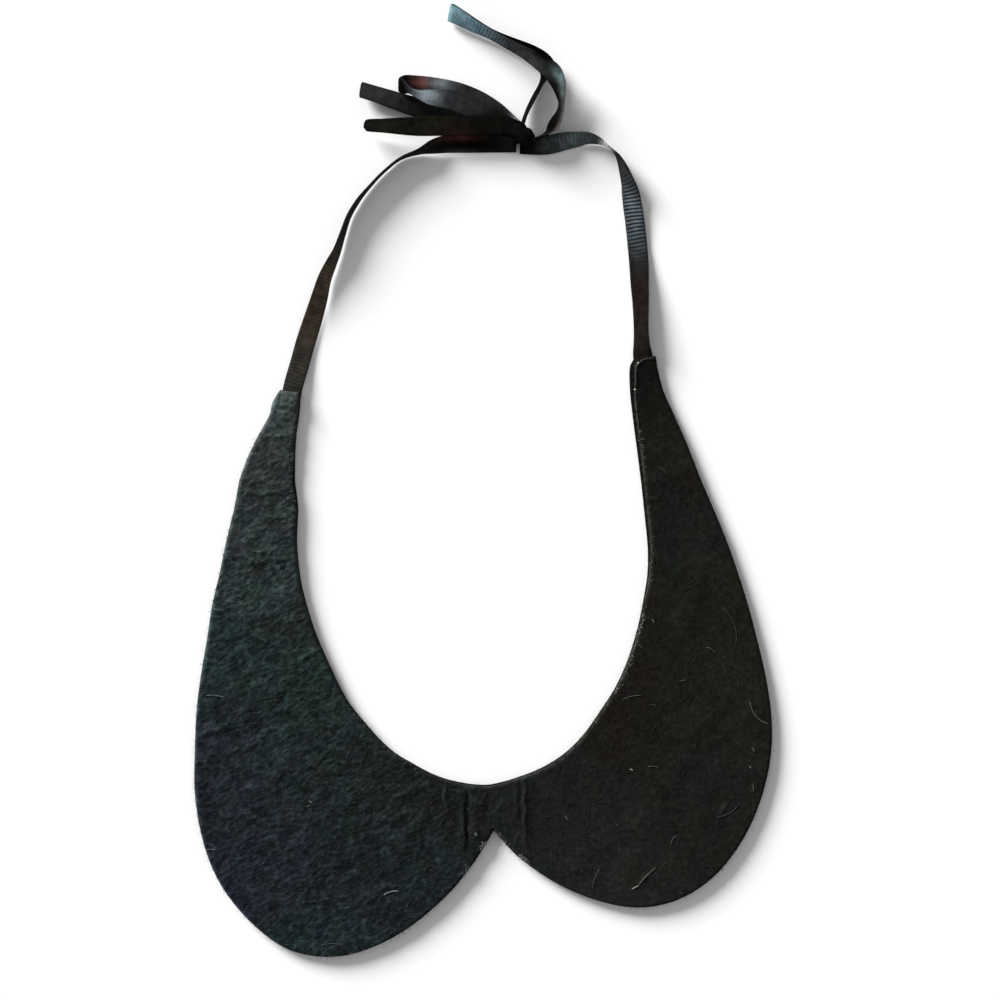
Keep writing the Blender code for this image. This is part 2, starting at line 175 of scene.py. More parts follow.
LOOP_RIGHT = [
    ( 16.3, 112.2, 3.3, -50,  84, 4.2),
    ( 20.6, 114.1, 3.1, -46,  72, 4.8),
    ( 22.6, 116.4, 2.2, -36,  52, 6.0),
    ( 24.0, 119.0, 1.6, -26,  56),
    ( 25.2, 121.8, 1.3, -16,  68),
    ( 25.7, 124.7, 1.6,  -6,  73),
    ( 25.4, 127.7, 2.8,   6,  60),
    ( 24.3, 131.3, 5.9,  20,  38),
    ( 22.3, 134.6, 6.9,  34,  24),
    ( 18.4, 137.5, 6.0,  48,  44),
    ( 13.9, 140.5, 4.2,  56,  60),
    (  8.2, 143.7, 3.0,  60,  67),
    (  2.2, 147.0, 2.4,  60,  70),
    ( -3.1, 149.8, 2.2,  64,  60),
    ( -7.7, 152.6, 2.1,  70,  46),
    (-10.2, 153.9, 1.9,  75,  41),
    (-11.2, 154.5, 1.3,  76,  40),
    (-10.3, 154.7, 0.6,  75,  41),
    ( -7.4, 153.0, 0.4,  70,  46),
    ( -2.8, 150.4, 0.4,  64,  60),
    (  2.6, 147.6, 0.4,  60,  70),
    (  8.8, 144.8, 0.4,  60,  66),
    ( 15.4, 141.9, 0.4,  54,  54),
    ( 19.6, 138.9, 0.3,  40,  36),
    ( 21.2, 136.3, 0.3,  16,  34),
    ( 20.6, 133.7, 0.3,  -6,  58),
    ( 19.1, 131.0, 0.3, -18,  73),
    ( 17.4, 127.9, 0.4, -23,  73),
    ( 15.2, 123.6, 0.8, -25,  73, 6.0),
    ( 13.8, 120.5, 1.3, -25,  74, 5.2),
    ( 12.9, 117.5, 1.8, -25,  80, 4.6),
]

TAIL_UPPER = [
    ( 12.1, 113.9, 0.4,  76,   0, 5.0),
    (  7.5, 115.3, 0.3,  78,   0, 6.0),
    (  1.6, 116.5, 0.3,  79,  -4),
    ( -6.4, 118.7, 0.3,  76,  -8),
    (-14.3, 121.3, 0.3,  73,  -4),
    (-21.5, 123.5, 0.3,  72,  -4),
    (-28.8, 125.7, 0.3,  72, -16),
    (-35.1, 127.7, 0.3,  76, -26),
    (-40.8, 129.4, 0.3,  83, -28),
]

TAIL_LOWER = [
    ( 12.8, 115.5, 5.6,  88,   0, 5.0),
    (  8.2, 116.7, 5.6,  89,   0, 6.0),
    (  2.2, 117.2, 5.5,  90,   0),
    ( -6.0, 117.0, 5.4,  90,   0),
    (-14.3, 116.8, 5.0,  90,   6),
    (-20.9, 116.7, 4.2,  90,  18),
    (-27.5, 116.8, 3.3,  89,  38),
    (-33.4, 117.0, 2.6,  88,  52),
    (-37.7, 117.1, 2.2,  86,  58),
    (-39.6, 117.1, 2.1,  86,  60, 5.4),
]


def between(t, a, b, leave, arrive):
    """What lies the share t of the way from a to b on a smooth curve with those slopes at its ends."""
    return ((2 * t**3 - 3 * t**2 + 1) * a + (3 * t**2 - 2 * t**3) * b
            + (t**3 - 2 * t**2 + t) * leave + (t**3 - t**2) * arrive)


def smooth_rows(rows, step):
    """Rows read about step mm apart from the smooth curve through a ribbon's places."""
    rows = np.array(rows, float)
    reach = np.linalg.norm(np.diff(rows[:, :3], axis=0), axis=1)
    way = np.concatenate([[0.0], np.cumsum(reach)])
    slopes = np.empty_like(rows)
    slopes[1:-1] = (rows[2:] - rows[:-2]) / (way[2:] - way[:-2])[:, None]
    slopes[0] = (rows[1] - rows[0]) / reach[0]
    slopes[-1] = (rows[-1] - rows[-2]) / reach[-1]
    out = []
    for i, length in enumerate(reach):
        for t in np.arange(0.0, 1.0, step / length):
            out.append(between(t, rows[i], rows[i + 1], length * slopes[i], length * slopes[i + 1]))
    out.append(rows[-1])
    return np.array(out)


def unit(vectors):
    """The same directions, each of length one."""
    return vectors / np.linalg.norm(vectors, axis=1)[:, None]


def ribbon_run(table):
    """The middle line, the direction across and the width of a ribbon, at even steps along it (mm)."""
    full_rows = [(*row, RIBBON_WIDE)[:6] for row in table]
    rows = smooth_rows(full_rows, PATH_STEP)
    turn, lean, wide = np.radians(rows[:, 3]), np.radians(rows[:, 4]), rows[:, 5]
    across = np.stack([np.cos(lean) * np.cos(turn), np.cos(lean) * np.sin(turn), np.sin(lean)], axis=1)
    middle = rows[:, :3].copy()
    middle[:, 2] += (np.abs(across[:, 2]) * wide + np.abs(np.cos(lean)) * SOLID_WALL) / 2.0
    way = np.concatenate([[0.0], np.cumsum(np.linalg.norm(np.diff(middle, axis=0), axis=1))])
    along = np.arange(0.0, way[-1], RIB_PITCH / ROWS_A_RIB)

    def even(values):
        return np.stack([np.interp(along, way, values[:, k]) for k in range(3)], axis=1)

    return along, even(middle), unit(even(across)), np.interp(along, way, wide)


def waves(place, size, seed):
    """Smooth waves from -1 to 1 at a place, size mm from crest to crest."""
    return noise.noise(Vector(place) / size + Vector((seed, -seed, 0.5 * seed)))


def close_outward(mesh):
    """Turn every face of a closed mesh outwards, and shade it smooth."""
    shape = bmesh.new()
    shape.from_mesh(mesh)
    bmesh.ops.recalc_face_normals(shape, faces=shape.faces)
    shape.to_mesh(mesh)
    shape.free()
    mesh.shade_smooth()


def rib_at(place):
    """How high a rib stands, from 0 to 1, at a place counted in ribs."""
    return math.sqrt(max(0.0, 1.0 - (2.0 * (place % 1.0) - 1.0)**2))


def keep_weave(mesh, weave):
    """Keep how far along and across the ribbon each point is, and how far up a rib, negative below."""
    mesh.attributes.new("weave", "FLOAT_VECTOR", "POINT").data.foreach_set(
        "vector", np.array(weave, np.float32).ravel())


def keep_tone(mesh, tone):
    """Keep the colour of each point."""
    mesh.attributes.new("tone", "FLOAT_COLOR", "POINT").data.foreach_set(
        "color", np.column_stack([tone, np.ones(len(tone))]).astype(np.float32).ravel())


def ribbon_mesh(name, run, seed, rib_height, ribbed, end_round):
    """A closed ribbon with its ribs raised on both faces, and the weave attribute that its finish reads."""
    along, middle, across, wide = run
    up = unit(np.cross(unit(np.gradient(middle, axis=0)), across))
    to_end = along[-1] - along
    if end_round:
        short = np.clip(1.0 - to_end / end_round, 0.0, 0.9)
        wide = wide * np.sqrt(1.0 - short**2)
    spread = np.sin(np.linspace(-math.pi / 2, math.pi / 2, POINTS_ACROSS))
    gather = np.clip(1.0 - wide / RIBBON_WIDE, 0.0, 0.4) * (np.minimum(along, to_end) < GATHER_REACH)
    points, weave = [], []
    for i, s in enumerate(along):
        clear = 1.0 / (1.0 + math.exp(ribbed[0] - s)) / (1.0 + math.exp(s - ribbed[1]))
        height = rib_height * (FAINT_RIB + (1.0 - FAINT_RIB) * clear)
        ribs = (s + RIB_STRAY * waves((s, 0.0, 0.0), 9.0, seed)) / RIB_PITCH
        for side, stations in ((1.0, spread), (-1.0, spread[-2:0:-1])):
            for v in stations:
                rib = rib_at(ribs + RIB_BOW * math.sin(1.8 * v + 0.25 * s + seed))
                edge = math.sqrt(max(0.0, 1.0 - abs(v)**5))
                thick = (WEAVE / 2.0 + height * rib) * edge
                lift = CREPE * waves((s, 5.0 * v, 0.0), 11.0, seed + 7.0)
                lift += GATHER_FOLD * gather[i] * math.sin(5.0 * v + 0.12 * s)
                reach = wide[i] / 2.0 * v * (1.0 + RIB_END * rib)
                points.append(middle[i] + across[i] * reach + up[i] * (lift + side * thick))
                # The crest sets the painted highlight on a rib's top and the painted shade in its groove.
                crest = 0.5 + (rib**6 - CREST_MIDDLE) * height / CREST_HIGH
                weave.append((s, wide[i] / 2.0 * v, crest * side))
    ring = 2 * POINTS_ACROSS - 2
    faces = []
    for i in range(len(along) - 1):
        here, there = i * ring, (i + 1) * ring
        for k in range(ring):
            n = (k + 1) % ring
            faces.append((here + k, there + k, there + n, here + n))
    for first in (0, (len(along) - 1) * ring):
        for k in range(POINTS_ACROSS - 1):
            low = [first + (ring - j) % ring for j in (k, k + 1)]
            corners = (first + k, first + k + 1, low[1], low[0])
            faces.append(tuple(dict.fromkeys(corners)))
    mesh = bpy.data.meshes.new(name)
    mesh.from_pydata([tuple(p * MM) for p in points], [], faces)
    close_outward(mesh)
    keep_weave(mesh, weave)
    return mesh


def soft_tone(mesh, ground, patches):
    """Colour each point with the ground colour and the soft patches, mostly of painted light, laid along the
    ribbon.
    """
    weave = np.empty(len(mesh.vertices) * 3, np.float32)
    mesh.attributes["weave"].data.foreach_get("vector", weave)
    weave = weave.reshape(-1, 3)
    tone = np.tile(np.array(ground), (len(weave), 1))
    for at, reach, red, green, blue, *across in patches:
        beside, spread = across or (0.0, FULL_SPREAD)
        share = np.exp(-((weave[:, 0] - at) / reach)**2 - ((weave[:, 1] - beside) / spread)**2)
        tone += share[:, None] * (np.array((red, green, blue)) - tone)
    keep_tone(mesh, tone)


def nodes_of(name):
    """A new material, its shader, and what adds a node (or takes the shader) and sets its inputs."""
    material = bpy.data.materials.new(name)
    material.use_nodes = True
    tree = material.node_tree

    def add(kind, settings=None, **inputs):
        node = tree.nodes.new("ShaderNode" + kind) if isinstance(kind, str) else kind
        for key, value in (settings or {}).items():
            setattr(node, key, value)
        for key, value in inputs.items():
            socket = node.inputs[int(key[1:]) if key[1:].isdigit() else key.replace("_", " ")]
            if isinstance(value, bpy.types.NodeSocket):
                tree.links.new(value, socket)
            else:
                socket.default_value = value
        return node.outputs

    return material, tree.nodes["Principled BSDF"], add


def grosgrain(name):
    """Woven ribbon: ribs painted paler on their crests and darker between, most where its tone is pale,
    as where it turns to the light; fine warp threads, and uneven dye.
    """
    material, shader, add = nodes_of(name)
    tone = add("Attribute", {"attribute_name": "tone"})
    weave = add("Attribute", {"attribute_name": "weave"})
    parts = add("SeparateXYZ", Vector=weave["Vector"])
    crest = add("Math", {"operation": "ABSOLUTE"}, n0=parts["Z"])
    # Painted rib light: crests paler and grooves darker, the more so where the tone is pale.
    ribs = add("MapRange", Value=crest[0], From_Min=0.27, From_Max=0.77, To_Min=-0.8, To_Max=0.95)
    painted_rib_light = add("MapRange", Value=tone["Fac"], From_Min=0.008, From_Max=0.05, To_Min=0.1, To_Max=1.0)
    shade = add("Math", {"operation": "MULTIPLY_ADD"}, n0=ribs[0], n1=painted_rib_light[0], n2=1.0)
    place = add("TexCoord")
    mottle = add("TexNoise", Vector=place["Object"], Scale=420.0, Detail=4.0)
    uneven = add("MapRange", Value=mottle["Fac"], From_Min=0.3, From_Max=0.7, To_Min=0.65, To_Max=1.35)
    threads = add("Math", {"operation": "MULTIPLY"}, n0=parts["Y"], n1=WARP_TURN)
    wave = add("Math", {"operation": "SINE"}, n0=threads[0])
    both = add("Math", {"operation": "MULTIPLY"}, n0=shade[0], n1=uneven[0])
    colour = add("VectorMath", {"operation": "SCALE"}, Vector=tone["Color"], Scale=both[0])
    bump = add("Bump", Strength=0.3, Distance=0.00004, Height=wave[0])
    dull = add("MapRange", Value=mottle["Fac"], To_Min=0.42, To_Max=0.6)
    add(shader, Base_Color=colour[0], Normal=bump[0], Roughness=dull[0], Specular_IOR_Level=0.0)
    return material


def show(name, mesh, material, node=None):
    """Put a piece in the scene, in place of its solid if it has one."""
    mesh.materials.append(material)
    piece = placed(name, mesh)
    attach(piece, "root")
    if node:
        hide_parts(node)
    return piece


# Soft patches of another tone on a ribbon, mostly painted light: painted highlights and glints where it
# turns to the lamp, painted shade where it turns away or lies under another strand, and painted warm
# reflection where it shows red. Each gives mm along from its start, its reach, its colour and, where they
# don't cover its width, mm beside the middle and their spread there.
#    along reach     red   green    blue  side wide
TIE_LEFT_TONES = [
    ( 12.0,  9.0, 0.0215, 0.0205, 0.0160),
    ( 30.0, 10.0, 0.0560, 0.0430, 0.0310),
    ( 43.0,  9.0, 0.0800, 0.0600, 0.0430),
    (115.0, 18.0, 0.0022, 0.0018, 0.0012),
    # Painted warm reflection along the raised edge beside the knot.
    (112.0,  6.0, 0.0650, 0.0220, 0.0190,  2.1, 1.0),
    (112.0,  6.0, 0.0300, 0.0310, 0.0280, -2.6, 0.8),
]
TIE_RIGHT_TONES = [
    ( 26.0, 10.0, 0.0101, 0.0064, 0.0058),
    # Painted blue highlight where the ribbon turns to the lamp.
    ( 53.0, 11.0, 0.0640, 0.0780, 0.0890,  0.0, 3.6),
    ( 69.0,  4.0, 0.0190, 0.0200, 0.0200),
    # A painted white glint where the ribbon stands on edge.
    ( 78.5,  2.2, 0.9000, 0.9000, 0.9000),
    # Painted pale blue highlight near the knot.
    ( 90.0,  8.5, 0.1000, 0.1220, 0.1300,  0.0, 4.0),
    ( 99.0,  4.0, 0.0500, 0.0560, 0.0580,  0.0, 1.6),
    (107.0,  5.0, 0.0030, 0.0032, 0.0028),
]
LOOP_LEFT_TONES = [
    # A painted glint by the knot.
    (  2.5,  2.2, 0.2500, 0.2500, 0.2600,  1.6, 0.5),
    ( 20.0,  8.0, 0.0270, 0.0270, 0.0270),
    # Painted white highlight on the inner face near the turn.
    ( 30.5,  4.4, 0.3800, 0.4300, 0.4500,  1.2, 2.4),
    # Painted warm reflection on the inner face, red, and darker red below it.
    ( 36.8,  3.0, 0.3800, 0.1300, 0.1200,  0.6, 2.2),
    ( 38.0,  5.0, 0.0600, 0.0060, 0.0040, -3.2, 1.2),
    ( 66.0,  9.0, 0.0250, 0.0240, 0.0270),
    # Painted blue-white highlight on the near strand.
    ( 54.5,  4.4, 0.6600, 0.7800, 0.8400),
    ( 66.0, 12.0, 0.0130, 0.0125, 0.0135,  3.4, 0.5),
    # Painted shade inside the turn.
    ( 46.0,  4.6, 0.0022, 0.0022, 0.0020),
    ( 80.0,  6.0, 0.0050, 0.0050, 0.0042),
    ( 90.0,  6.0, 0.0040, 0.0040, 0.0034),
]
LOOP_RIGHT_TONES = [
    (  8.0,  8.0, 0.0022, 0.0018, 0.0016),
    ( 13.0,  9.0, 0.0500, 0.0420, 0.0380,  2.9, 0.8),
    # Painted teal highlight at the bend.
    ( 24.0,  4.5, 0.1150, 0.1650, 0.1650,  1.6, 1.8),
    ( 25.0,  6.0, 0.0130, 0.0120, 0.0100, -2.2, 1.6),
    ( 42.0, 10.0, 0.0440, 0.0480, 0.0470),
    # Painted shade on the far strand.
    ( 34.0,  5.0, 0.0020, 0.0020, 0.0016,  2.9, 1.4),
    # Painted teal highlights towards the tip.
    ( 53.0,  5.0, 0.1200, 0.1700, 0.2000),
    ( 60.0,  5.0, 0.1500, 0.2400, 0.2900),
    ( 68.0,  5.0, 0.2500, 0.4200, 0.4800),
    ( 80.0, 10.0, 0.0080, 0.0090, 0.0095),
    (112.0, 20.0, 0.0022, 0.0020, 0.0019),
]
TAIL_UPPER_TONES = [
    ( 51.0, 11.0, 0.0190, 0.0193, 0.0198),
    ( 26.0,  8.0, 0.0050, 0.0062, 0.0056),
]
TAIL_LOWER_TONES = [
    ( 30.0,  8.0, 0.0090, 0.0080, 0.0056),
    ( 46.0, 10.0, 0.0280, 0.0262, 0.0200),
    ( 22.0,  6.0, 0.0100, 0.0055, 0.0042, -3.0, 1.6),
    # The lower tail's dark sealed end, its own colour.
    ( 53.0,  0.8, 0.0040, 0.0036, 0.0030),
]

# Each length: its piece, solid and places, what it ends in, how high its ribs stand and how far its end
# rounds off (mm), between which places its ribs show clearly, with full height and full painted rib light,
# its ground colour, paler or darker per length with how the light falls on it, and its tones.
LENGTHS = [
    ("tie_left", "strap_left", TIE_LEFT, "knot", 0.06, 0.0, (2.0, 16.0),
     (0.0240, 0.0236, 0.0225), TIE_LEFT_TONES),
    ("tie_right", "strap_right", TIE_RIGHT, "knot", 0.09, 0.0, (37.0, 69.0),
     (0.0092, 0.0080, 0.0070), TIE_RIGHT_TONES),
    ("loop_left", "bow_loop_left", LOOP_LEFT, "object", 0.03, 0.0, (0.0, 6.0),
     (0.0150, 0.0150, 0.0150), LOOP_LEFT_TONES),
    ("loop_right", "bow_loop_right", LOOP_RIGHT, "object", 0.03, 0.0, (44.0, 58.0),
     (0.0130, 0.0130, 0.0125), LOOP_RIGHT_TONES),
    ("tail_upper", "bow_tail_upper", TAIL_UPPER, "bare", 0.03, 0.4, (0.0, 10.0),
     (0.0080, 0.0082, 0.0080), TAIL_UPPER_TONES),
    ("tail_lower", "bow_tail_lower", TAIL_LOWER, "bare", 0.03, 0.9, (0.0, 10.0),
     (0.0042, 0.0037, 0.0031), TAIL_LOWER_TONES),
]
ribbon_finish = grosgrain("grosgrain_ribbon")
for number, row in enumerate(LENGTHS):
    name, node, table, ending, rib_height, end_round, ribbed, ground, tones = row
    run = ribbon_run(table)
    mesh = ribbon_mesh(name, run, 3.7 * number + 1.0, rib_height, ribbed, end_round)
    soft_tone(mesh, ground, tones)
    piece = show(name, mesh, ribbon_finish, node)

# Knot
# The ribbon itself, passed once round the strands of the bow and drawn tight, so that it gathers into
# lengthwise pleats and pulls in at its edges.
KNOT_PLACE = (12.8, 114.4, 4.0)     # mm
KNOT_HALF = (4.8, 3.1, 3.3)         # half its length, breadth and height
KNOT_TURN = math.radians(-40.0)
KNOT_SQUARE = 2.4                   # how square its round is, where 2 is an ellipse
KNOT_DRAWN_IN = 0.72                # how much smaller its round is at its edges
KNOT_PLEAT = 0.20                   # mm, how high its pleats stand
KNOT_RIB = 0.03                     # mm, how high its ribs stand
KNOT_RIB_PITCH = 1.1                # mm, less than on the loose ribbon
KNOT_ROUND = 120
KNOT_ACROSS = 28


def knot_mesh():
    """The band round the strands, with its ends closed."""
    points, weave = [], []
    length, breadth, height = KNOT_HALF
    way = 0.0
    last = None
    for i in range(KNOT_ROUND):
        angle = 2.0 * math.pi * i / KNOT_ROUND
        c, s = math.cos(angle), math.sin(angle)
        out = 1.0 / (abs(c)**KNOT_SQUARE + abs(s)**KNOT_SQUARE)**(1 / KNOT_SQUARE)
        here = Vector((c * out * length, 0.0, s * out * height))
        way += (here - last).length if last else 0.0
        last = here
        rib = rib_at(way / KNOT_RIB_PITCH)
        for k in range(KNOT_ACROSS + 1):
            v = 2.0 * k / KNOT_ACROSS - 1.0
            pull = 1.0 - KNOT_DRAWN_IN * abs(v)**3.5
            pleat = KNOT_PLEAT * math.sin(4.6 * v + 0.9 * math.sin(angle + 0.6)) * (1.0 - abs(v)**3)
            grow = pull + (pleat + KNOT_RIB * rib) / height
            side = breadth * v * (0.90 + 0.10 * math.sin(2.0 * angle + 0.5))
            points.append((here.x * grow, side, here.z * grow))
            weave.append((way, side, rib))
    faces = []
    row = KNOT_ACROSS + 1
    for i in range(KNOT_ROUND):
        here, there = i * row, (i + 1) % KNOT_ROUND * row
        for k in range(KNOT_ACROSS):
            faces.append((here + k, here + k + 1, there + k + 1, there + k))
    for k in (0, KNOT_ACROSS):
        faces.append([i * row + k for i in range(KNOT_ROUND)])
    mesh = bpy.data.meshes.new("knot")
    mesh.from_pydata(points, [], faces)
    mesh.transform(Matrix.Diagonal((MM, MM, MM, 1.0)) @ Matrix.Translation(KNOT_PLACE)
                   @ Matrix.Rotation(KNOT_TURN, 4, "Z"))
    close_outward(mesh)
    keep_weave(mesh, weave)
    return mesh


knot = knot_mesh()
soft_tone(knot, (0.0040, 0.0038, 0.0034), [])
show("knot", knot, ribbon_finish, "bow_knot")

# Back felt
# The backing, cut from 1.6 mm felt to the collar's pattern a little larger, so that its cut edge shows
# past the front one at the right tip and along the right neck edge. It lies flat on the surface.
FELT_THICK = 1.6              # mm
FELT_EDGE_STEP = 0.45         # mm between points along a cut edge
BACK_STEP = 1.6               # mm between points on the backing's face
UNDER_STEP = 8.0              # mm between points on a flat underside
UNDER_CLEAR = 3.0             # mm that they keep from its edge
EDGE_ROUND = 0.38             # mm, how far a cut edge rounds over
EDGE_WAVER = 0.05             # mm, how far it wavers, up and down and in and out
# The swell of a cut edge under its round: shares of the felt's height, and how far it swells there (mm).
EDGE_SWELL = ((0.74, 0.09), (0.40, 0.12), (0.08, 0.03))
PAINTED_BACKING_SHADE = 0.45                 # the backing's tone, in tones of the front: painted shade, as it lies under the front's edge
MOTTLE_HUE = 0.12             # how much the dye's red, green and blue each change, as shares
MOTTLE_SHADE = 0.2            # how much they change together
# Which ways the felt's fibres lie (degrees), and how much finer than the first each lot is.
FIBRE_LIES = ((32.0, 1.0), (-30.0, 1.15), (86.0, 1.1))
FIBRE_LONG = 0.0020           # metres
FIBRE_THICK = 0.00042


def cut_outline(node):
    """The outline of a felt piece from above (mm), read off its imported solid, anticlockwise."""
    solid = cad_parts[node].data
    edges = set()
    for face in solid.polygons:
        if face.normal.z < 0.5:
            continue
        ring = [tuple(round(c / MM, 3) for c in solid.vertices[v].co[:2]) for v in face.vertices]
        for a, b in zip(ring, ring[1:] + ring[:1]):
            if (b, a) in edges:
                edges.remove((b, a))
            else:
                edges.add((a, b))
    follow = dict(edges)
    outline = [min(follow)]
    while follow[outline[-1]] != outline[0]:
        outline.append(follow[outline[-1]])
    return np.array(outline)


def smooth_outline(points, step, corner=50.0):
    """Points about step apart on the smooth curve through an outline's points, with its corners kept."""
    count = len(points)
    slopes = []
    for i in range(count):
        before, after = points[i] - points[i - 1], points[(i + 1) % count] - points[i]
        a, b = np.linalg.norm(before), np.linalg.norm(after)
        even = (before + after) / (a + b)
        sharp = math.degrees(Vector(before).angle(Vector(after))) > corner
        slopes.append((before / a, after / b) if sharp else (even, even))
    out = []
    for i in range(count):
        a, b = points[i], points[(i + 1) % count]
        length = np.linalg.norm(b - a)
        leave, arrive = slopes[i][1] * length, slopes[(i + 1) % count][0] * length
        pieces = max(1, round(length / step))
        for t in np.arange(pieces) / pieces:
            out.append(between(t, a, b, leave, arrive))
    return np.array(out)


def inside(points, outline):
    """Which points lie inside an outline."""
    x, y = points[:, 0], points[:, 1]
    within = np.zeros(len(points), bool)
    for a, b in zip(outline, np.roll(outline, -1, axis=0)):
        crosses = (a[1] > y) != (b[1] > y)
        rise = b[1] - a[1] or 1e-9
        within ^= crosses & (x < (b[0] - a[0]) * (y - a[1]) / rise + a[0])
    return within


def nearest(places, outline):
    """The nearest point of an outline to each place, by number, and how far it is (mm)."""
    tree = kdtree.KDTree(len(outline))
    for i, p in enumerate(outline):
        tree.insert((*p, 0.0), i)
    tree.balance()
    found = [tree.find((*p, 0.0)) for p in places]
    return np.array([f[1] for f in found]), np.array([f[2] for f in found])


def outward_of(outline):
    """Which way an outline faces at each of its points."""
    tangents = np.roll(outline, -1, axis=0) - np.roll(outline, 1, axis=0)
    return unit(np.stack([tangents[:, 1], -tangents[:, 0]], axis=1))


def filled(outline, step, clear):
    """Triangles that fill an outline, with points step apart, none closer than clear to its edge."""
    low, high = outline.min(axis=0), outline.max(axis=0)
    rows = np.arange(low[1], high[1], step * math.sqrt(0.75))
    grid = np.array([(x + 0.5 * step * (j % 2), y) for j, y in enumerate(rows)
                     for x in np.arange(low[0], high[0], step)])
    grid = grid[inside(grid, outline)]
    grid = grid[nearest(grid, outline)[1] > clear]
    count = len(outline)
    corners = [Vector(p) for p in outline] + [Vector(p) for p in grid]
    found = delaunay_2d_cdt(corners, [(i, (i + 1) % count) for i in range(count)], [], 1, 1e-6)
    return np.array([tuple(v) for v in found[0]]), [tuple(f) for f in found[2]]


def felt_mesh(name, outline, bottom, step, height, colour):
    """A closed piece of felt: its face at height(places, distance to the edge), its cut edge rounded."""
    count = len(outline)
    face, faces = filled(outline, step, 0.6 * step)
    under, under_faces = filled(outline, UNDER_STEP, UNDER_CLEAR)
    away = nearest(face, outline)[1]
    level = height(face, away)
    points = [(*p, z) for p, z in zip(face, level)]
    outward = outward_of(outline)
    rings = [list(range(count))]
    for share, bulge in EDGE_SWELL:
        rings.append(list(range(len(points), len(points) + count)))
        for i in range(count):
            fray = EDGE_WAVER * waves((*outline[i], share * 9.0), 0.9, 2.0)
            x, y = outline[i] + outward[i] * (bulge + fray)
            points.append((x, y, bottom + share * (level[i] - bottom)))
    first = len(points)
    points += [(*p, bottom) for p in under]
    faces += [tuple(first + k for k in reversed(f)) for f in under_faces]
    rings.append([first + i for i in range(count)])
    for here, there in zip(rings, rings[1:]):
        for i in range(count):
            n = (i + 1) % count
            faces.append((here[n], here[i], there[i], there[n]))
    mesh = bpy.data.meshes.new(name)
    mesh.from_pydata([(x * MM, y * MM, z * MM) for x, y, z in points], [], faces)
    mesh.shade_smooth()
    keep_tone(mesh, colour(np.array(points)[:, :2], outline))
    return mesh


# The felt's colour in soft patches, of its dye, wear and stains; the left half is paler and bluer, partly
# its dye and partly painted cool light. The middle of each, its reach (mm) and its colour.
#        x       y reach     red   green    blue
FELT_TONES = [
    (-64.0,   24.0, 10.0, 0.0300, 0.0370, 0.0360),
    (-63.6,   27.2,  4.0, 0.0440, 0.0520, 0.0500),
    (-69.0,    8.0, 14.0, 0.0215, 0.0270, 0.0255),
    (-74.0,  -14.0, 15.0, 0.0175, 0.0235, 0.0225),
    (-76.0,  -36.0, 16.0, 0.0165, 0.0245, 0.0250),
    (-60.0,  -48.0,  9.0, 0.0125, 0.0165, 0.0150),
    (-84.0,  -62.0, 16.0, 0.0100, 0.0160, 0.0165),
    (-60.0,  -68.0, 18.0, 0.0100, 0.0170, 0.0150),
    (-86.0,  -92.0, 18.0, 0.0105, 0.0135, 0.0180),
    (-62.0, -100.0, 16.0, 0.0100, 0.0150, 0.0155),
    (-38.0, -100.0, 14.0, 0.0078, 0.0105, 0.0098),
    (-72.0, -124.0, 16.0, 0.0095, 0.0118, 0.0165),
    (-46.0, -126.0, 16.0, 0.0085, 0.0110, 0.0130),
    (-54.0, -150.0, 12.0, 0.0095, 0.0150, 0.0170),
    (-24.0, -124.0, 12.0, 0.0080, 0.0115, 0.0120),
    (-14.0, -108.0,  9.0, 0.0070, 0.0082, 0.0078),
    (  4.0, -108.0, 10.0, 0.0078, 0.0092, 0.0088),
    ( 24.0, -112.0, 14.0, 0.0080, 0.0085, 0.0082),
    ( 44.0, -130.0, 16.0, 0.0105, 0.0108, 0.0098),
    ( 70.0, -122.0, 18.0, 0.0078, 0.0080, 0.0068),
    ( 84.0,  -92.0, 18.0, 0.0080, 0.0085, 0.0066),
    ( 84.0,  -68.0, 14.0, 0.0088, 0.0093, 0.0066),
    ( 54.0,  -78.0, 14.0, 0.0066, 0.0063, 0.0048),
    ( 66.0,  -50.0, 16.0, 0.0072, 0.0076, 0.0056),
    ( 64.0,  -10.0, 20.0, 0.0066, 0.0070, 0.0057),
    ( 54.0,   34.0, 12.0, 0.0038, 0.0037, 0.0030),
    # Smaller stains on the right half.
    ( 59.4,   15.7,  7.0, 0.0077, 0.0081, 0.0050),
    ( 70.4,   -0.8,  7.0, 0.0082, 0.0067, 0.0053),
    ( 73.7,  -20.6,  8.0, 0.0088, 0.0091, 0.0083),
    ( 82.0,  -31.6,  6.0, 0.0088, 0.0092, 0.0048),
    ( 61.6,  -30.5,  7.0, 0.0060, 0.0078, 0.0052),
    ( 55.0,  -42.0,  6.0, 0.0077, 0.0061, 0.0050),
    ( 53.9,  -60.0,  7.0, 0.0078, 0.0059, 0.0050),
    ( 51.7,  -79.0,  8.0, 0.0083, 0.0060, 0.0050),
    ( 61.6,  -85.0,  8.0, 0.0070, 0.0076, 0.0045),
    ( 85.0,  -79.0,  7.0, 0.0080, 0.0085, 0.0048),
    ( 70.4,  -95.4,  8.0, 0.0078, 0.0081, 0.0082),
]


def waves_over(places, size, seed):
    """The waves at some places on the surface."""
    return np.array([waves((x, y, 0.0), size, seed) for x, y in places])


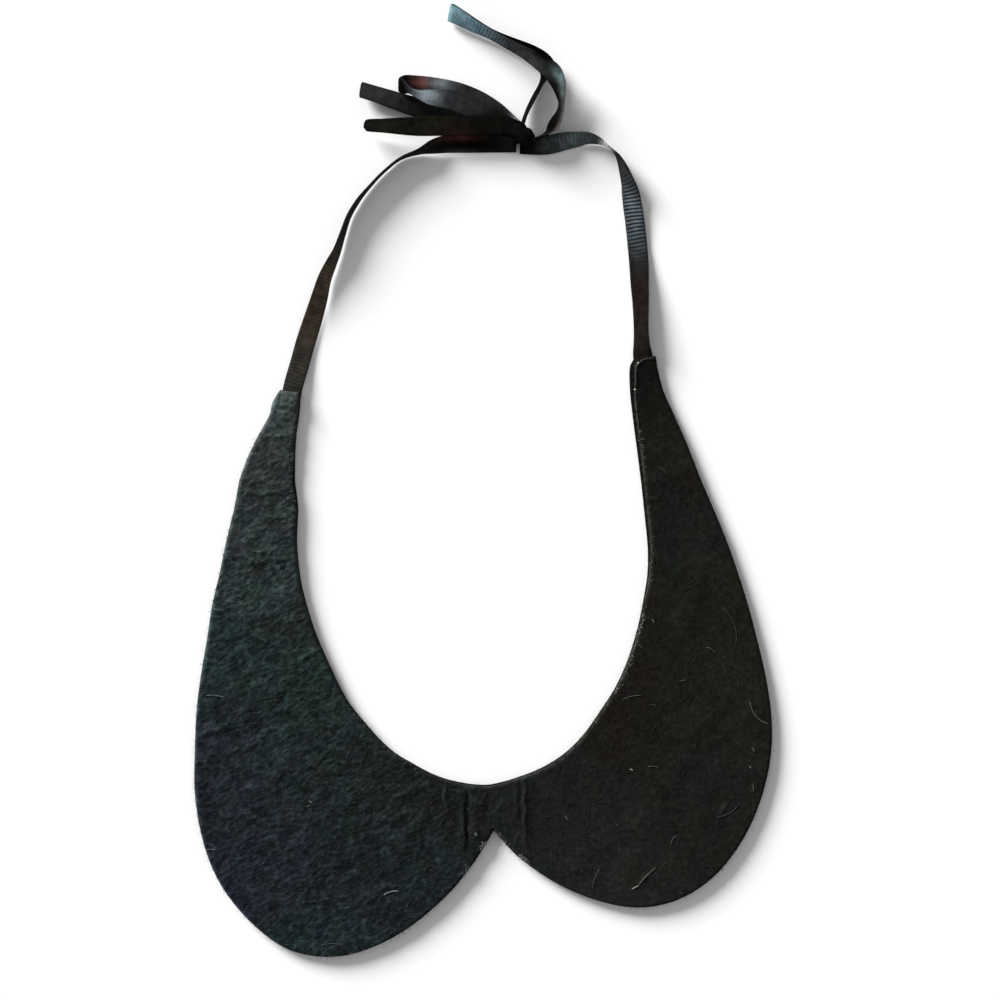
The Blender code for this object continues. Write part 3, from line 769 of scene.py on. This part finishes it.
def felt_tone(places):
    """The felt's colour at some places, with the mottle of its worn dye."""
    total = np.full(len(places), 1e-6)
    colour = np.zeros((len(places), 3))
    for x, y, reach, *rgb in FELT_TONES:
        share = np.exp(-((places[:, 0] - x)**2 + (places[:, 1] - y)**2) / reach**2) + 1e-9
        total += share
        colour += share[:, None] * np.array(rgb)
    colour /= total[:, None]
    mottle = np.stack([waves_over(places, 8.0, 3.0 + 5.0 * k) + 0.6 * waves_over(places, 3.4, 9.0 + k)
                       for k in range(4)], axis=1)
    return colour * (1.0 + MOTTLE_HUE * mottle[:, :3] + MOTTLE_SHADE * mottle[:, 3:])


def backing_tone(places, outline):
    """The backing's colour: the same dye, darkened as painted shade where it shows under the front's edge.
    """
    return PAINTED_BACKING_SHADE * felt_tone(places)


def felt(name):
    """Pressed felt: short fibres that lie every way, some paler than others, and small dark pits."""
    material, shader, add = nodes_of(name)
    tone = add("Attribute", {"attribute_name": "tone"})
    here = add("TexCoord")["Object"]
    strands = []
    for turn, fine in FIBRE_LIES:
        turned = add("Mapping", {"vector_type": "TEXTURE"}, Vector=here,
                     Rotation=(0.0, 0.0, math.radians(turn)),
                     Scale=(FIBRE_LONG / fine, FIBRE_THICK / fine, MM))
        strands.append(add("TexNoise", Vector=turned[0], Scale=1.0, Detail=2.0, Distortion=0.5)["Fac"])
    crossed = add("Math", {"operation": "MAXIMUM"}, n0=strands[0], n1=strands[1])
    crossed = add("Math", {"operation": "MAXIMUM"}, n0=crossed[0], n1=strands[2])
    shade = add("MapRange", Value=crossed[0], From_Min=0.46, From_Max=0.76, To_Min=0.6, To_Max=1.55)
    cloud = add("TexNoise", Vector=here, Scale=620.0, Detail=3.0)
    blotch = add("MapRange", Value=cloud["Fac"], From_Min=0.3, From_Max=0.7, To_Min=0.68, To_Max=1.32)
    both = add("Math", {"operation": "MULTIPLY"}, n0=shade[0], n1=blotch[0])
    colour = add("VectorMath", {"operation": "SCALE"}, Vector=tone["Color"], Scale=both[0])
    bump = add("Bump", Strength=0.8, Distance=0.00010, Height=crossed[0])
    lumps = add("Bump", Strength=0.7, Distance=0.00022, Height=cloud["Fac"], Normal=bump[0])
    add(shader, Base_Color=colour[0], Normal=lumps[0], Roughness=0.92, Specular_IOR_Level=0.04,
        Sheen_Weight=0.02, Sheen_Roughness=0.55)
    return material


def rounded_over(away):
    """How far the face drops at a distance from the cut edge."""
    return EDGE_ROUND * (1.0 - np.sqrt(1.0 - np.clip(1.0 - away / (2.0 * EDGE_ROUND), 0.0, 1.0)**2))


def back_height(places, away):
    """The backing's face: flat, with the waver of a cut edge."""
    return FELT_THICK - rounded_over(away) + EDGE_WAVER * waves_over(places, 6.0, 4.0)


felt_finish = felt("pressed_felt")
back_cut = smooth_outline(cut_outline("collar_back"), FELT_EDGE_STEP)
back = show("backing", felt_mesh("backing", back_cut, 0.0, BACK_STEP, back_height, backing_tone),
            felt_finish, "collar_back")

# Front felt
# The face of the collar, one piece of the same felt with two lobes and a bridge over the V. It has been
# worn and folded, so that a fine crinkle and longer creases run up to the right across its left half.
FRONT_TOP = 3.5               # mm
FRONT_UNDERSIDE = 1.95
FRONT_STEP = 0.47             # mm between points on its face
# The ends of the ribbons under the felt: the middle of each, its half width, half length and turn, and
# how far it lifts the felt (mm).
TIE_ENDS = [
    (-63.6, 26.6, 3.1, 3.2, 166, 0.75),
    (53.2, 36.4, 3.1, 3.2, 2, 0.20),
]
CRINKLE_RUNS = math.radians(30.0)
CRINKLE_ENDS = -2.0           # mm, where the left half's crinkle gives way to the calmer right half
CRINKLE_FADE = 6.0            # mm, over how far
CRINKLE_SINK = 0.06           # mm, how far the ground between its ridges lies under the felt's top
# How high its ridges and swells stand on the right (mm), and how much higher on the left.
RIDGE_RISE = (0.03, 0.15)
SWELL_RISE = (0.08, 0.12)
# The same for how pale their tops are, partly from wear and partly as painted highlight, with painted shade
# below.
RIDGE_WEAR_AND_HIGHLIGHT = (0.15, 0.7)
SWELL_WEAR_AND_HIGHLIGHT = (0.2, 0.2)
# A fine crease's ridge is paler, partly from wear and partly as painted highlight, and its hollow darker.
CREASE_TONE_PER_MM = 1.6             # paler for each mm a fine crease rises, darker for each mm it sinks
CREASE_SWAY = 0.22            # mm, how far a crease sways from a straight line
LIT_EDGE_SIDE = (-0.94, 0.34)     # the way, roughly towards the lamp, that the cut edges face which carry a painted highlight
LIT_EDGE_REACH = 0.8              # mm, how far in from the edge the painted highlight reaches
# Creases, puckers and pressed bands: the middle of each, which way it runs (degrees), its length, its
# spread to each side and how far it rises or, below zero, sinks (mm).
#        x       y runs  long wide   rise
CREASES = [
    # Broad swells, from the left tip round to the right lobe.
    (-66.5,   15.0, -12, 14.0, 2.2,  0.30),
    (-72.0,   -2.0, -16, 24.0, 2.6,  0.40),
    (-74.5,  -24.0, -14, 27.0, 3.0,  0.40),
    (-76.0,  -46.0,  28, 26.0, 3.2,  0.35),
    (-72.0,  -72.0,  36, 34.0, 3.6,  0.45),
    (-70.0,  -98.0,  42, 38.0, 3.8,  0.40),
    (-48.0, -108.0,  38, 30.0, 3.4,  0.35),
    (-58.0, -132.0,  34, 36.0, 3.6,  0.45),
    (-24.0, -118.0,  58, 24.0, 3.0,  0.40),
    ( -2.6, -109.0,  88, 18.0, 2.2,  0.50),
    ( 13.4, -111.0,  92, 24.0, 2.2,  0.45),
    ( 62.0,    2.0,  20, 16.0, 2.6,  0.35),
    ( 70.0,  -36.0,  76, 34.0, 3.4,  0.35),
    ( 66.0,  -92.0,  62, 40.0, 4.0,  0.40),
    ( 42.0, -118.0,  30, 30.0, 3.6,  0.35),
    # Fine creases of the left half, some with the hollow beside them.
    (-67.1,   15.2,   6, 10.0, 0.6,  0.26),
    (-67.3,   13.9,   2,  9.0, 0.5, -0.12),
    (-76.4,   -3.6, -11,  9.0, 0.6,  0.24),
    (-68.4,   -3.4,  13, 10.0, 0.6,  0.30),
    (-71.0,   -5.0,   3, 15.0, 0.6, -0.14),
    (-68.0,  -11.9,   2,  9.0, 0.5,  0.20),
    (-72.0,  -26.2,   9, 17.0, 0.7,  0.32),
    (-71.6,  -27.9,   8, 17.0, 0.6, -0.16),
    (-80.8,  -41.2,  11, 15.0, 0.6,  0.24),
    (-80.2,  -42.6,  12, 13.0, 0.5, -0.12),
    (-58.5,  -57.9,  28, 12.5, 0.6,  0.30),
    (-58.0,  -59.3,  28, 11.0, 0.6, -0.20),
    (-83.6,  -80.5,  18, 21.0, 0.8,  0.20),
    (-82.8,  -82.2,  18, 18.0, 0.7, -0.12),
    (-70.0,  -88.0,  34, 12.0, 0.7,  0.20),
    (-52.0,  -90.0,  40, 11.0, 0.7,  0.22),
    (-77.0, -112.0,  24, 14.0, 0.7,  0.20),
    (-58.0, -114.0,  38, 13.0, 0.7,  0.20),
    (-38.0, -112.0,  46, 10.0, 0.6,  0.20),
    (-64.0, -142.0,  30, 14.0, 0.7,  0.20),
    (-40.0, -138.0,  36, 13.0, 0.7,  0.22),
    # Creases of the bridge over the V.
    (-12.6, -102.2,  88,  6.5, 0.5,  0.40),
    (-12.2, -107.4, 110,  5.0, 0.5,  0.26),
    ( -9.0, -107.0,  86, 13.0, 1.6, -0.30),
    ( -5.4, -112.6,  90, 19.0, 0.6, -0.60),
    ( -4.2, -105.0,  86,  8.0, 0.4,  0.34),
    ( -6.6, -114.0,  98,  7.0, 0.4,  0.36),
    ( -2.7, -115.9,   0,  3.0, 1.2,  0.40),
    (  0.2, -104.4,  70,  5.0, 0.5,  0.26),
    (  5.6, -107.4,  55,  6.0, 0.6,  0.24),
    ( 12.0, -105.0,  90, 14.0, 0.6, -0.40),
    ( 13.7, -109.0,  91, 22.0, 0.5,  0.46),
    ( 10.9, -118.6,  70,  6.0, 0.5,  0.30),
    # Short creases of the right half.
    ( 55.7,   -6.0,   4,  4.8, 0.6,  0.26),
    ( 73.2,  -18.8, -52,  6.0, 0.8,  0.24),
    ( 77.6,  -25.8, -62,  5.0, 0.8,  0.22),
    ( 79.2, -108.4,  48,  6.0, 0.6,  0.28),
    ( 53.6, -130.4,  45,  7.0, 0.7,  0.30),
    ( 37.2, -131.0,  70,  7.0, 0.7,  0.26),
]
FINE_CREASE = 1.0       # mm, the spread below which a crease is paler on its ridge and darker in its hollow


def seen_from(x, y, turn, places):
    """How far places lie along and beside a line through x, y that runs at a turn (degrees)."""
    c, s = math.cos(math.radians(turn)), math.sin(math.radians(turn))
    right, up = places[:, 0] - x, places[:, 1] - y
    return right * c + up * s, up * c - right * s


def crease_rise(places, widest=math.inf):
    """How far the creases with no more than the widest spread lift the felt at some places (mm)."""
    rise = np.zeros(len(places))
    for x, y, runs, length, spread, height in CREASES:
        if spread > widest:
            continue
        along, beside = seen_from(x, y, runs, places)
        beside = beside + CREASE_SWAY * np.sin(0.9 * along + x)
        rise += height * np.exp(-(beside / spread)**2 - (2.0 * along / length)**4)
    return rise


def tie_rise(places):
    """The raised squares over the ends of the ribbons."""
    rise = np.zeros(len(places))
    for x, y, wide, length, turn, lift in TIE_ENDS:
        across, along = seen_from(x, y, turn, places)
        rise = np.maximum(rise, lift * np.exp(-(across / wide)**8 - (along / length)**8))
    return rise


def crinkle(places):
    """The fine crinkle, as its short ridges (0 to 1, most below) and its broader swells (-1 to 1)."""
    worms, swells = np.empty(len(places)), np.empty(len(places))
    c, s = math.cos(CRINKLE_RUNS), math.sin(CRINKLE_RUNS)
    for i, (x, y) in enumerate(places):
        sway = 1.5 * waves((x, y, 0.0), 9.0, 5.0) + 0.5 * waves((x, y, 0.0), 3.0, 1.0)
        along, beside = x * c + y * s, y * c - x * s + sway
        fine = waves((along / 3.0, beside, 0.0), 1.25, 3.0)
        other = waves((along / 1.5 + beside, beside / 1.2, 2.0), 1.3, 6.0)
        worms[i] = max(1.0 - 4.0 * abs(fine - 0.06), 0.0) + 0.5 * max(1.0 - 4.5 * abs(other), 0.0)
        swells[i] = waves((along / 1.7, beside, 3.0), 3.4, 8.0) + 0.6 * waves((x, y, 0.0), 1.7, 2.0)
    return worms, swells


def leftness(places):
    """How much of the left half's crinkle a place has."""
    return 1.0 / (1.0 + np.exp((places[:, 0] - CRINKLE_ENDS) / CRINKLE_FADE))


def by_side(pair, left):
    """The first number of a pair on the right half, with the second added on the left."""
    return pair[0] + pair[1] * left


def front_height(places, away):
    """The front felt's face."""
    worms, swells = crinkle(places)
    left = leftness(places)
    fine = by_side(RIDGE_RISE, left) * worms + by_side(SWELL_RISE, left) * swells
    calm = np.clip(away, 0.35, 1.0)
    ground = FRONT_TOP - CRINKLE_SINK - rounded_over(away)
    return ground + crease_rise(places) + tie_rise(places) + fine * calm


def front_tone(places, outline):
    """The front felt's colour: ridge tops paler, partly from wear and partly as painted highlight,
    painted shade in the pits, and a painted highlight along the cut edges that face the lamp.
    """
    worms, swells = crinkle(places)
    left = leftness(places)
    # Ridge tops paler, partly wear and partly painted highlight; painted shade between them.
    worn = by_side(RIDGE_WEAR_AND_HIGHLIGHT, left) * (worms - 0.35) + by_side(SWELL_WEAR_AND_HIGHLIGHT, left) * swells
    # Sparse painted highlights on the left half's highest ridges.
    worn += 1.3 * left * np.clip(worms - 0.95, 0.0, 1.0)
    worn *= 1.0 - 0.4 / (1.0 + np.exp(-places[:, 1] / 6.0))
    worn += CREASE_TONE_PER_MM * crease_rise(places, FINE_CREASE)
    number, away = nearest(places, outline)
    facing = outward_of(outline)[number] @ np.array(LIT_EDGE_SIDE)
    # A painted highlight along the cut edges that face the lamp, broken up by waves.
    fuzz = waves_over(places, 2.4, 6.0) + 0.6 * waves_over(places, 9.0, 4.0)
    pale = 1.5 * np.clip(facing + 0.1, 0.0, 1.0) * np.clip(1.0 + 1.8 * fuzz, 0.1, 3.0)
    pale *= np.exp(-(away / LIT_EDGE_REACH)**2)
    return felt_tone(places) * np.clip(1.0 + worn + pale, 0.25, 5.0)[:, None]


TIP_REACH = 1.1         # mm, how far the right tip rolls up over the ribbon, to the edge of the backing
TIP_FROM = 38.2         # mm, where along the arm it starts to
TIP_EASE = 0.35         # mm, over how far it does


def long_tip(outline):
    """The outline with its right tip drawn up."""
    share = 1.0 / (1.0 + np.exp((TIP_FROM - outline[:, 1]) / TIP_EASE))
    return np.column_stack([outline[:, 0], outline[:, 1] + TIP_REACH * share])


front_cut = long_tip(smooth_outline(cut_outline("collar_front"), FELT_EDGE_STEP))
front = show("collar", felt_mesh("collar", front_cut, FRONT_UNDERSIDE, FRONT_STEP, front_height, front_tone),
             felt_finish, "collar_front")

# Loose fibres
# Fibres that have worked out of the felt: a fuzz along the cut edges, short curls all over the face, and
# some pale hairs and specks of lint that have caught on it.
STRAND_TALL = 1.4             # the height of a strand, in radii
END_THIN = 0.4                # the radius of its ends, in radii
# How high a strand's foot lies over the face: that of a thin one in radii, and that of a thick one, which
# is bedded in so that its foot doesn't show, as mm less a number of radii.
THIN_FOOT = 0.5
THICK_FOOT = (0.15, 0.6)
# Hairs: the start and end of each, how far it bows to its left, its radius (mm) and how pale it is.
#       x0      y0     x1      y1   bow radius   pale
HAIRS = [
    ( 88.0,  -72.9,  94.4,  -80.3, -1.6, 0.085, 0.150),
    ( 45.8,  -72.3,  52.4,  -70.8,  0.5, 0.090, 0.075),
    ( 54.7,  -73.9,  57.2,  -74.3,  0.2, 0.080, 0.060),
    ( 64.9,  -66.2,  66.9,  -65.8,  0.2, 0.090, 0.070),
    ( 79.0,  -41.8,  83.2,  -54.4,  1.9, 0.110, 0.040),
    ( 73.4,  -54.9,  76.6,  -56.6,  0.4, 0.120, 0.065),
    ( 77.1, -110.9,  84.8, -105.9, -1.2, 0.100, 0.045),
    ( 51.2, -133.3,  57.0, -127.6,  0.3, 0.110, 0.110),
    ( 49.0, -134.8,  51.4, -133.6,  0.1, 0.190, 0.200),
    ( 36.0, -134.5,  38.4, -128.0,  0.4, 0.100, 0.055),
    ( 48.4,  -95.2,  49.4,  -95.6,  0.1, 0.200, 0.200),
    ( 54.4,  -94.4,  58.0,  -94.6,  0.3, 0.130, 0.060),
    ( 55.7,  -45.6,  56.4,  -46.8,  0.1, 0.180, 0.120),
    ( 88.6,  -88.0,  89.4,  -89.4,  0.2, 0.160, 0.110),
    ( 87.8,  -94.2,  88.3,  -94.9,  0.1, 0.190, 0.150),
    ( 88.7, -100.0,  89.1, -102.4,  0.2, 0.150, 0.090),
    ( 27.0, -110.8,  27.9, -111.8,  0.1, 0.240, 0.080),
    ( 43.6, -113.0,  44.4, -113.9,  0.1, 0.160, 0.070),
    ( 62.0, -119.8,  63.8, -117.0,  0.4, 0.120, 0.060),
    (-91.6,  -70.9, -85.2,  -71.6,  0.5, 0.085, 0.160),
    (-91.6, -121.9, -87.9, -121.6,  0.2, 0.080, 0.120),
    (-32.8, -136.6, -27.6, -135.4,  0.5, 0.110, 0.260),
    (-57.6, -105.6, -56.4, -106.4,  0.1, 0.200, 0.140),
    (-58.2, -107.6, -57.0, -107.0,  0.1, 0.120, 0.090),
    (-53.6, -153.2, -45.8, -153.4,  0.6, 0.090, 0.070),
    ( 57.6,    4.6,  60.6,    1.8,  0.5, 0.090, 0.060),
    # The worn, rolled edge of the right tip, then two pale flecks caught on it.
    ( 51.3,   17.5,  50.7,   22.6, -0.1, 0.240, 0.022),
    ( 50.7,   22.8,  50.4,   26.4,  0.0, 0.280, 0.032),
    ( 50.3,   26.0,  50.2,   29.6,  0.0, 0.240, 0.024),
    ( 50.3,   30.8,  50.3,   35.0, -0.1, 0.360, 0.017),
    ( 50.3,   34.7,  50.5,   37.6,  0.0, 0.360, 0.024),
    ( 50.5,   37.5,  53.0,   40.0,  0.3, 0.400, 0.024),
    ( 52.7,   39.9,  56.2,   40.3,  0.2, 0.480, 0.013),
    ( 50.0,   30.0,  50.2,   30.3,  0.0, 0.340, 0.700),
    ( 50.9,   38.7,  51.2,   39.0,  0.0, 0.300, 0.400),
    # A tuft over the V.
    ( -2.8, -116.2,  -2.2, -117.0,  0.1, 0.450, 0.160),
]
# Lint caught on cut edges: the middle of each stretch, its reach (mm), how many fibres and how pale.
EDGE_LINT = [
    ( 50.0,  -58.0, 14.0, 90, 0.20),
    ( 50.0,   12.0,  9.0, 30, 0.12),
    ( 55.0,  -32.0, 13.0, 40, 0.12),
    ( 36.0,  -84.0, 14.0, 40, 0.08),
    ( 16.0, -122.0,  5.0, 40, 0.22),
    (  8.0, -117.0,  4.0, 16, 0.12),
    ( -3.0, -119.0,  4.0, 40, 0.20),
    ( -9.0, -126.0,  5.0, 24, 0.10),
    (-73.0,    2.0, 14.0, 70, 0.12),
    (-82.0,  -30.0, 16.0, 60, 0.10),
    (-87.0,  -60.0, 14.0, 24, 0.08),
    (-36.0,  -88.0, 20.0, 30, 0.07),
    (-92.0, -104.0, 14.0, 16, 0.08),
    (-48.0, -152.0, 20.0, 30, 0.08),
]
# Curls on the face: how many, how far they keep from the edge, the ranges of their length, bend (radians),
# radius and tone, and how much paler or darker they are on the left and on the right.
FACE_FIBRES = 1000
FACE_CLEAR = 3.0
CURL_LENGTH = (0.8, 3.0)
CURL_BEND = (-0.8, 0.8)
CURL_RADIUS = (0.05, 0.09)
CURL_TONE = (0.010, 0.026)
CURL_LEFT = 1.4
CURL_RIGHT = 0.75
# The same ranges for lint, and for the fuzz along the cut edge.
LINT_LENGTH = (0.3, 1.1)
LINT_BEND = (-1.5, 1.5)
LINT_RADIUS = (0.05, 0.11)
EDGE_FIBRES = 1500
FUZZ_BEND = (-1.6, 1.6)
FUZZ_RADIUS = (0.02, 0.04)
FUZZ_TONE = (0.02, 0.08)
FUZZ_LONGEST = 1.5
FUZZ_HEIGHT = 2.75            # mm, the middle of the cut edge


def fibre_tone(pale, x):
    """The colour of a fibre, bluer in the left half."""
    return (pale * 0.9, pale * 1.06, pale * 1.04) if x < 0 else (pale, pale * 0.99, pale * 0.93)


def fibre_line(start, heading, length, curl, rise):
    """The places and heights above the face of a curling fibre's points."""
    out = []
    x, y = start
    steps = 5
    for k in range(steps + 1):
        out.append((x, y, rise * math.sin(math.pi * (0.15 + 0.85 * k / steps))))
        x += length / steps * math.cos(heading)
        y += length / steps * math.sin(heading)
        heading += curl / steps
    return out


def bowed_line(x0, y0, x1, y1, bow, rise):
    """The same for a hair between two places."""
    out = []
    steps = 12
    span = math.hypot(x1 - x0, y1 - y0)
    side = (-(y1 - y0) / span, (x1 - x0) / span)
    for k in range(steps + 1):
        t = k / steps
        off = 4.0 * bow * t * (1.0 - t)
        out.append((x0 + (x1 - x0) * t + side[0] * off, y0 + (y1 - y0) * t + side[1] * off, rise))
    return out


def fibres_mesh(name, lines, outline, base):
    """Closed three-sided strands along lines of (places, radius, pale), laid on the felt's face."""
    flat = np.array([point for line, _, _ in lines for point in line])
    ground = base(flat[:, :2], nearest(flat[:, :2], outline)[1]) + flat[:, 2]
    points, faces, tones = [], [], []
    at = 0
    for line, radius, pale in lines:
        count = len(line)
        foot = min(THIN_FOOT * radius, THICK_FOOT[0] - THICK_FOOT[1] * radius)
        middle = np.column_stack([flat[at:at + count, :2], ground[at:at + count] + foot])
        at += count
        along = np.gradient(middle, axis=0)
        side = unit(np.column_stack([-along[:, 1], along[:, 0], np.zeros(count)]))
        first = len(points)
        for k in range(count):
            thin = radius * (1.0 if 0 < k < count - 1 else END_THIN)
            points.append(middle[k] - side[k] * thin)
            points.append(middle[k] + side[k] * thin)
            points.append(middle[k] + np.array((0.0, 0.0, STRAND_TALL * thin)))
            tones += [fibre_tone(pale, middle[k][0])] * 3
        for k in range(count - 1):
            here, there = first + 3 * k, first + 3 * k + 3
            for a, b in ((0, 1), (1, 2), (2, 0)):
                faces.append((here + a, here + b, there + b, there + a))
        last = first + 3 * (count - 1)
        faces += [(first, first + 2, first + 1), (last, last + 1, last + 2)]
    mesh = bpy.data.meshes.new(name)
    mesh.from_pydata([tuple(p * MM) for p in points], [], faces)
    close_outward(mesh)
    keep_tone(mesh, tones)
    return mesh


def fibre_finish(name):
    """A loose fibre: matt, with a pale tone that varies along it."""
    material, shader, add = nodes_of(name)
    tone = add("Attribute", {"attribute_name": "tone"})
    here = add("TexCoord")["Object"]
    cloud = add("TexNoise", Vector=here, Scale=1500.0, Detail=2.0)
    vary = add("MapRange", Value=cloud["Fac"], From_Min=0.3, From_Max=0.7, To_Min=0.5, To_Max=1.4)
    colour = add("VectorMath", {"operation": "SCALE"}, Vector=tone["Color"], Scale=vary[0])
    add(shader, Base_Color=colour[0], Roughness=0.8, Specular_IOR_Level=0.2)
    return material


draw = random.Random(41)
low, high = front_cut.min(axis=0), front_cut.max(axis=0)
spots = np.array([(draw.uniform(low[0], high[0]), draw.uniform(low[1], high[1]))
                  for _ in range(4 * FACE_FIBRES)])
spots = spots[inside(spots, front_cut)]
spots = spots[nearest(spots, front_cut)[1] > FACE_CLEAR][:FACE_FIBRES]
strands = []
for x, y in spots:
    pale = draw.uniform(*CURL_TONE) * (CURL_LEFT if x < 0 else CURL_RIGHT)
    heading = draw.gauss(CRINKLE_RUNS, 0.5) if x < 0 else draw.uniform(0.0, math.pi)
    strands.append((fibre_line((x, y), heading, draw.uniform(*CURL_LENGTH), draw.uniform(*CURL_BEND), 0.05),
                    draw.uniform(*CURL_RADIUS), pale))
for x0, y0, x1, y1, bow, radius, pale in HAIRS:
    strands.append((bowed_line(x0, y0, x1, y1, bow, 0.06), radius, pale))
facing = outward_of(front_cut)
for x, y, reach, count, pale in EDGE_LINT:
    near = np.nonzero(np.hypot(front_cut[:, 0] - x, front_cut[:, 1] - y) < reach)[0]
    for _ in range(count):
        i = int(draw.choice(near))
        spot = front_cut[i] - facing[i] * (0.1 + draw.expovariate(2.8))
        line = fibre_line(spot, draw.uniform(0.0, math.pi), draw.uniform(*LINT_LENGTH),
                          draw.uniform(*LINT_BEND), 0.05)
        strands.append((line, draw.uniform(*LINT_RADIUS), draw.uniform(0.3, 1.2) * pale))
face_fibres = show("face_fibres", fibres_mesh("face_fibres", strands, front_cut, front_height),
                   fibre_finish("loose_fibre"))


def edge_height(places, away):
    """The middle of the front felt's cut edge."""
    return np.full(len(places), FUZZ_HEIGHT)


strands = []
for _ in range(EDGE_FIBRES):
    i = draw.randrange(len(front_cut))
    heading = math.atan2(facing[i][1], facing[i][0]) + draw.gauss(0.0, 1.0)
    length = min(FUZZ_LONGEST, draw.expovariate(1.9) + 0.25)
    line = fibre_line(front_cut[i], heading, length, draw.uniform(*FUZZ_BEND), draw.uniform(-0.5, 0.45))
    strands.append((line, draw.uniform(*FUZZ_RADIUS), draw.uniform(*FUZZ_TONE)))
edge_fibres = show("edge_fibres", fibres_mesh("edge_fibres", strands, front_cut, edge_height),
                   face_fibres.data.materials[0])


# Light and surface
# The necklace lies on a plain white table, under a broad soft lamp that stands low at the upper left of
# the picture. The pale room lights it from all round.
LAMP_POWER = 6.9
LAMP_FROM = math.radians(135.0)     # from +X
LAMP_RISE = math.radians(22.0)      # above the table
LAMP_SPREAD = math.radians(26.0)
ROOM_GREY = (0.40, 0.40, 0.40, 1.0)
TABLE_WHITE = (0.86, 0.86, 0.86, 1.0)
HALF_TABLE = 12.0                   # metres

sun = bpy.data.lights.new("soft_lamp", "SUN")
sun.energy = LAMP_POWER
sun.angle = LAMP_SPREAD
lamp = placed("soft_lamp", sun)
aim = Vector((math.cos(LAMP_FROM) * math.cos(LAMP_RISE), math.sin(LAMP_FROM) * math.cos(LAMP_RISE),
              math.sin(LAMP_RISE)))
lamp.rotation_euler = aim.to_track_quat("Z", "Y").to_euler()

room = bpy.data.worlds.new("pale_room")
room.use_nodes = True
room.node_tree.nodes["Background"].inputs["Color"].default_value = ROOM_GREY
bpy.context.scene.world = room

table_top = bpy.data.meshes.new("table")
table_top.from_pydata([(x * HALF_TABLE, y * HALF_TABLE, 0) for x, y in ((-1, -1), (1, -1), (1, 1), (-1, 1))],
                      [], [(0, 1, 2, 3)])
paint, shader, add = nodes_of("white_table")
add(shader, Base_Color=TABLE_WHITE, Roughness=0.8)
table_top.materials.append(paint)
table = placed("table", table_top)
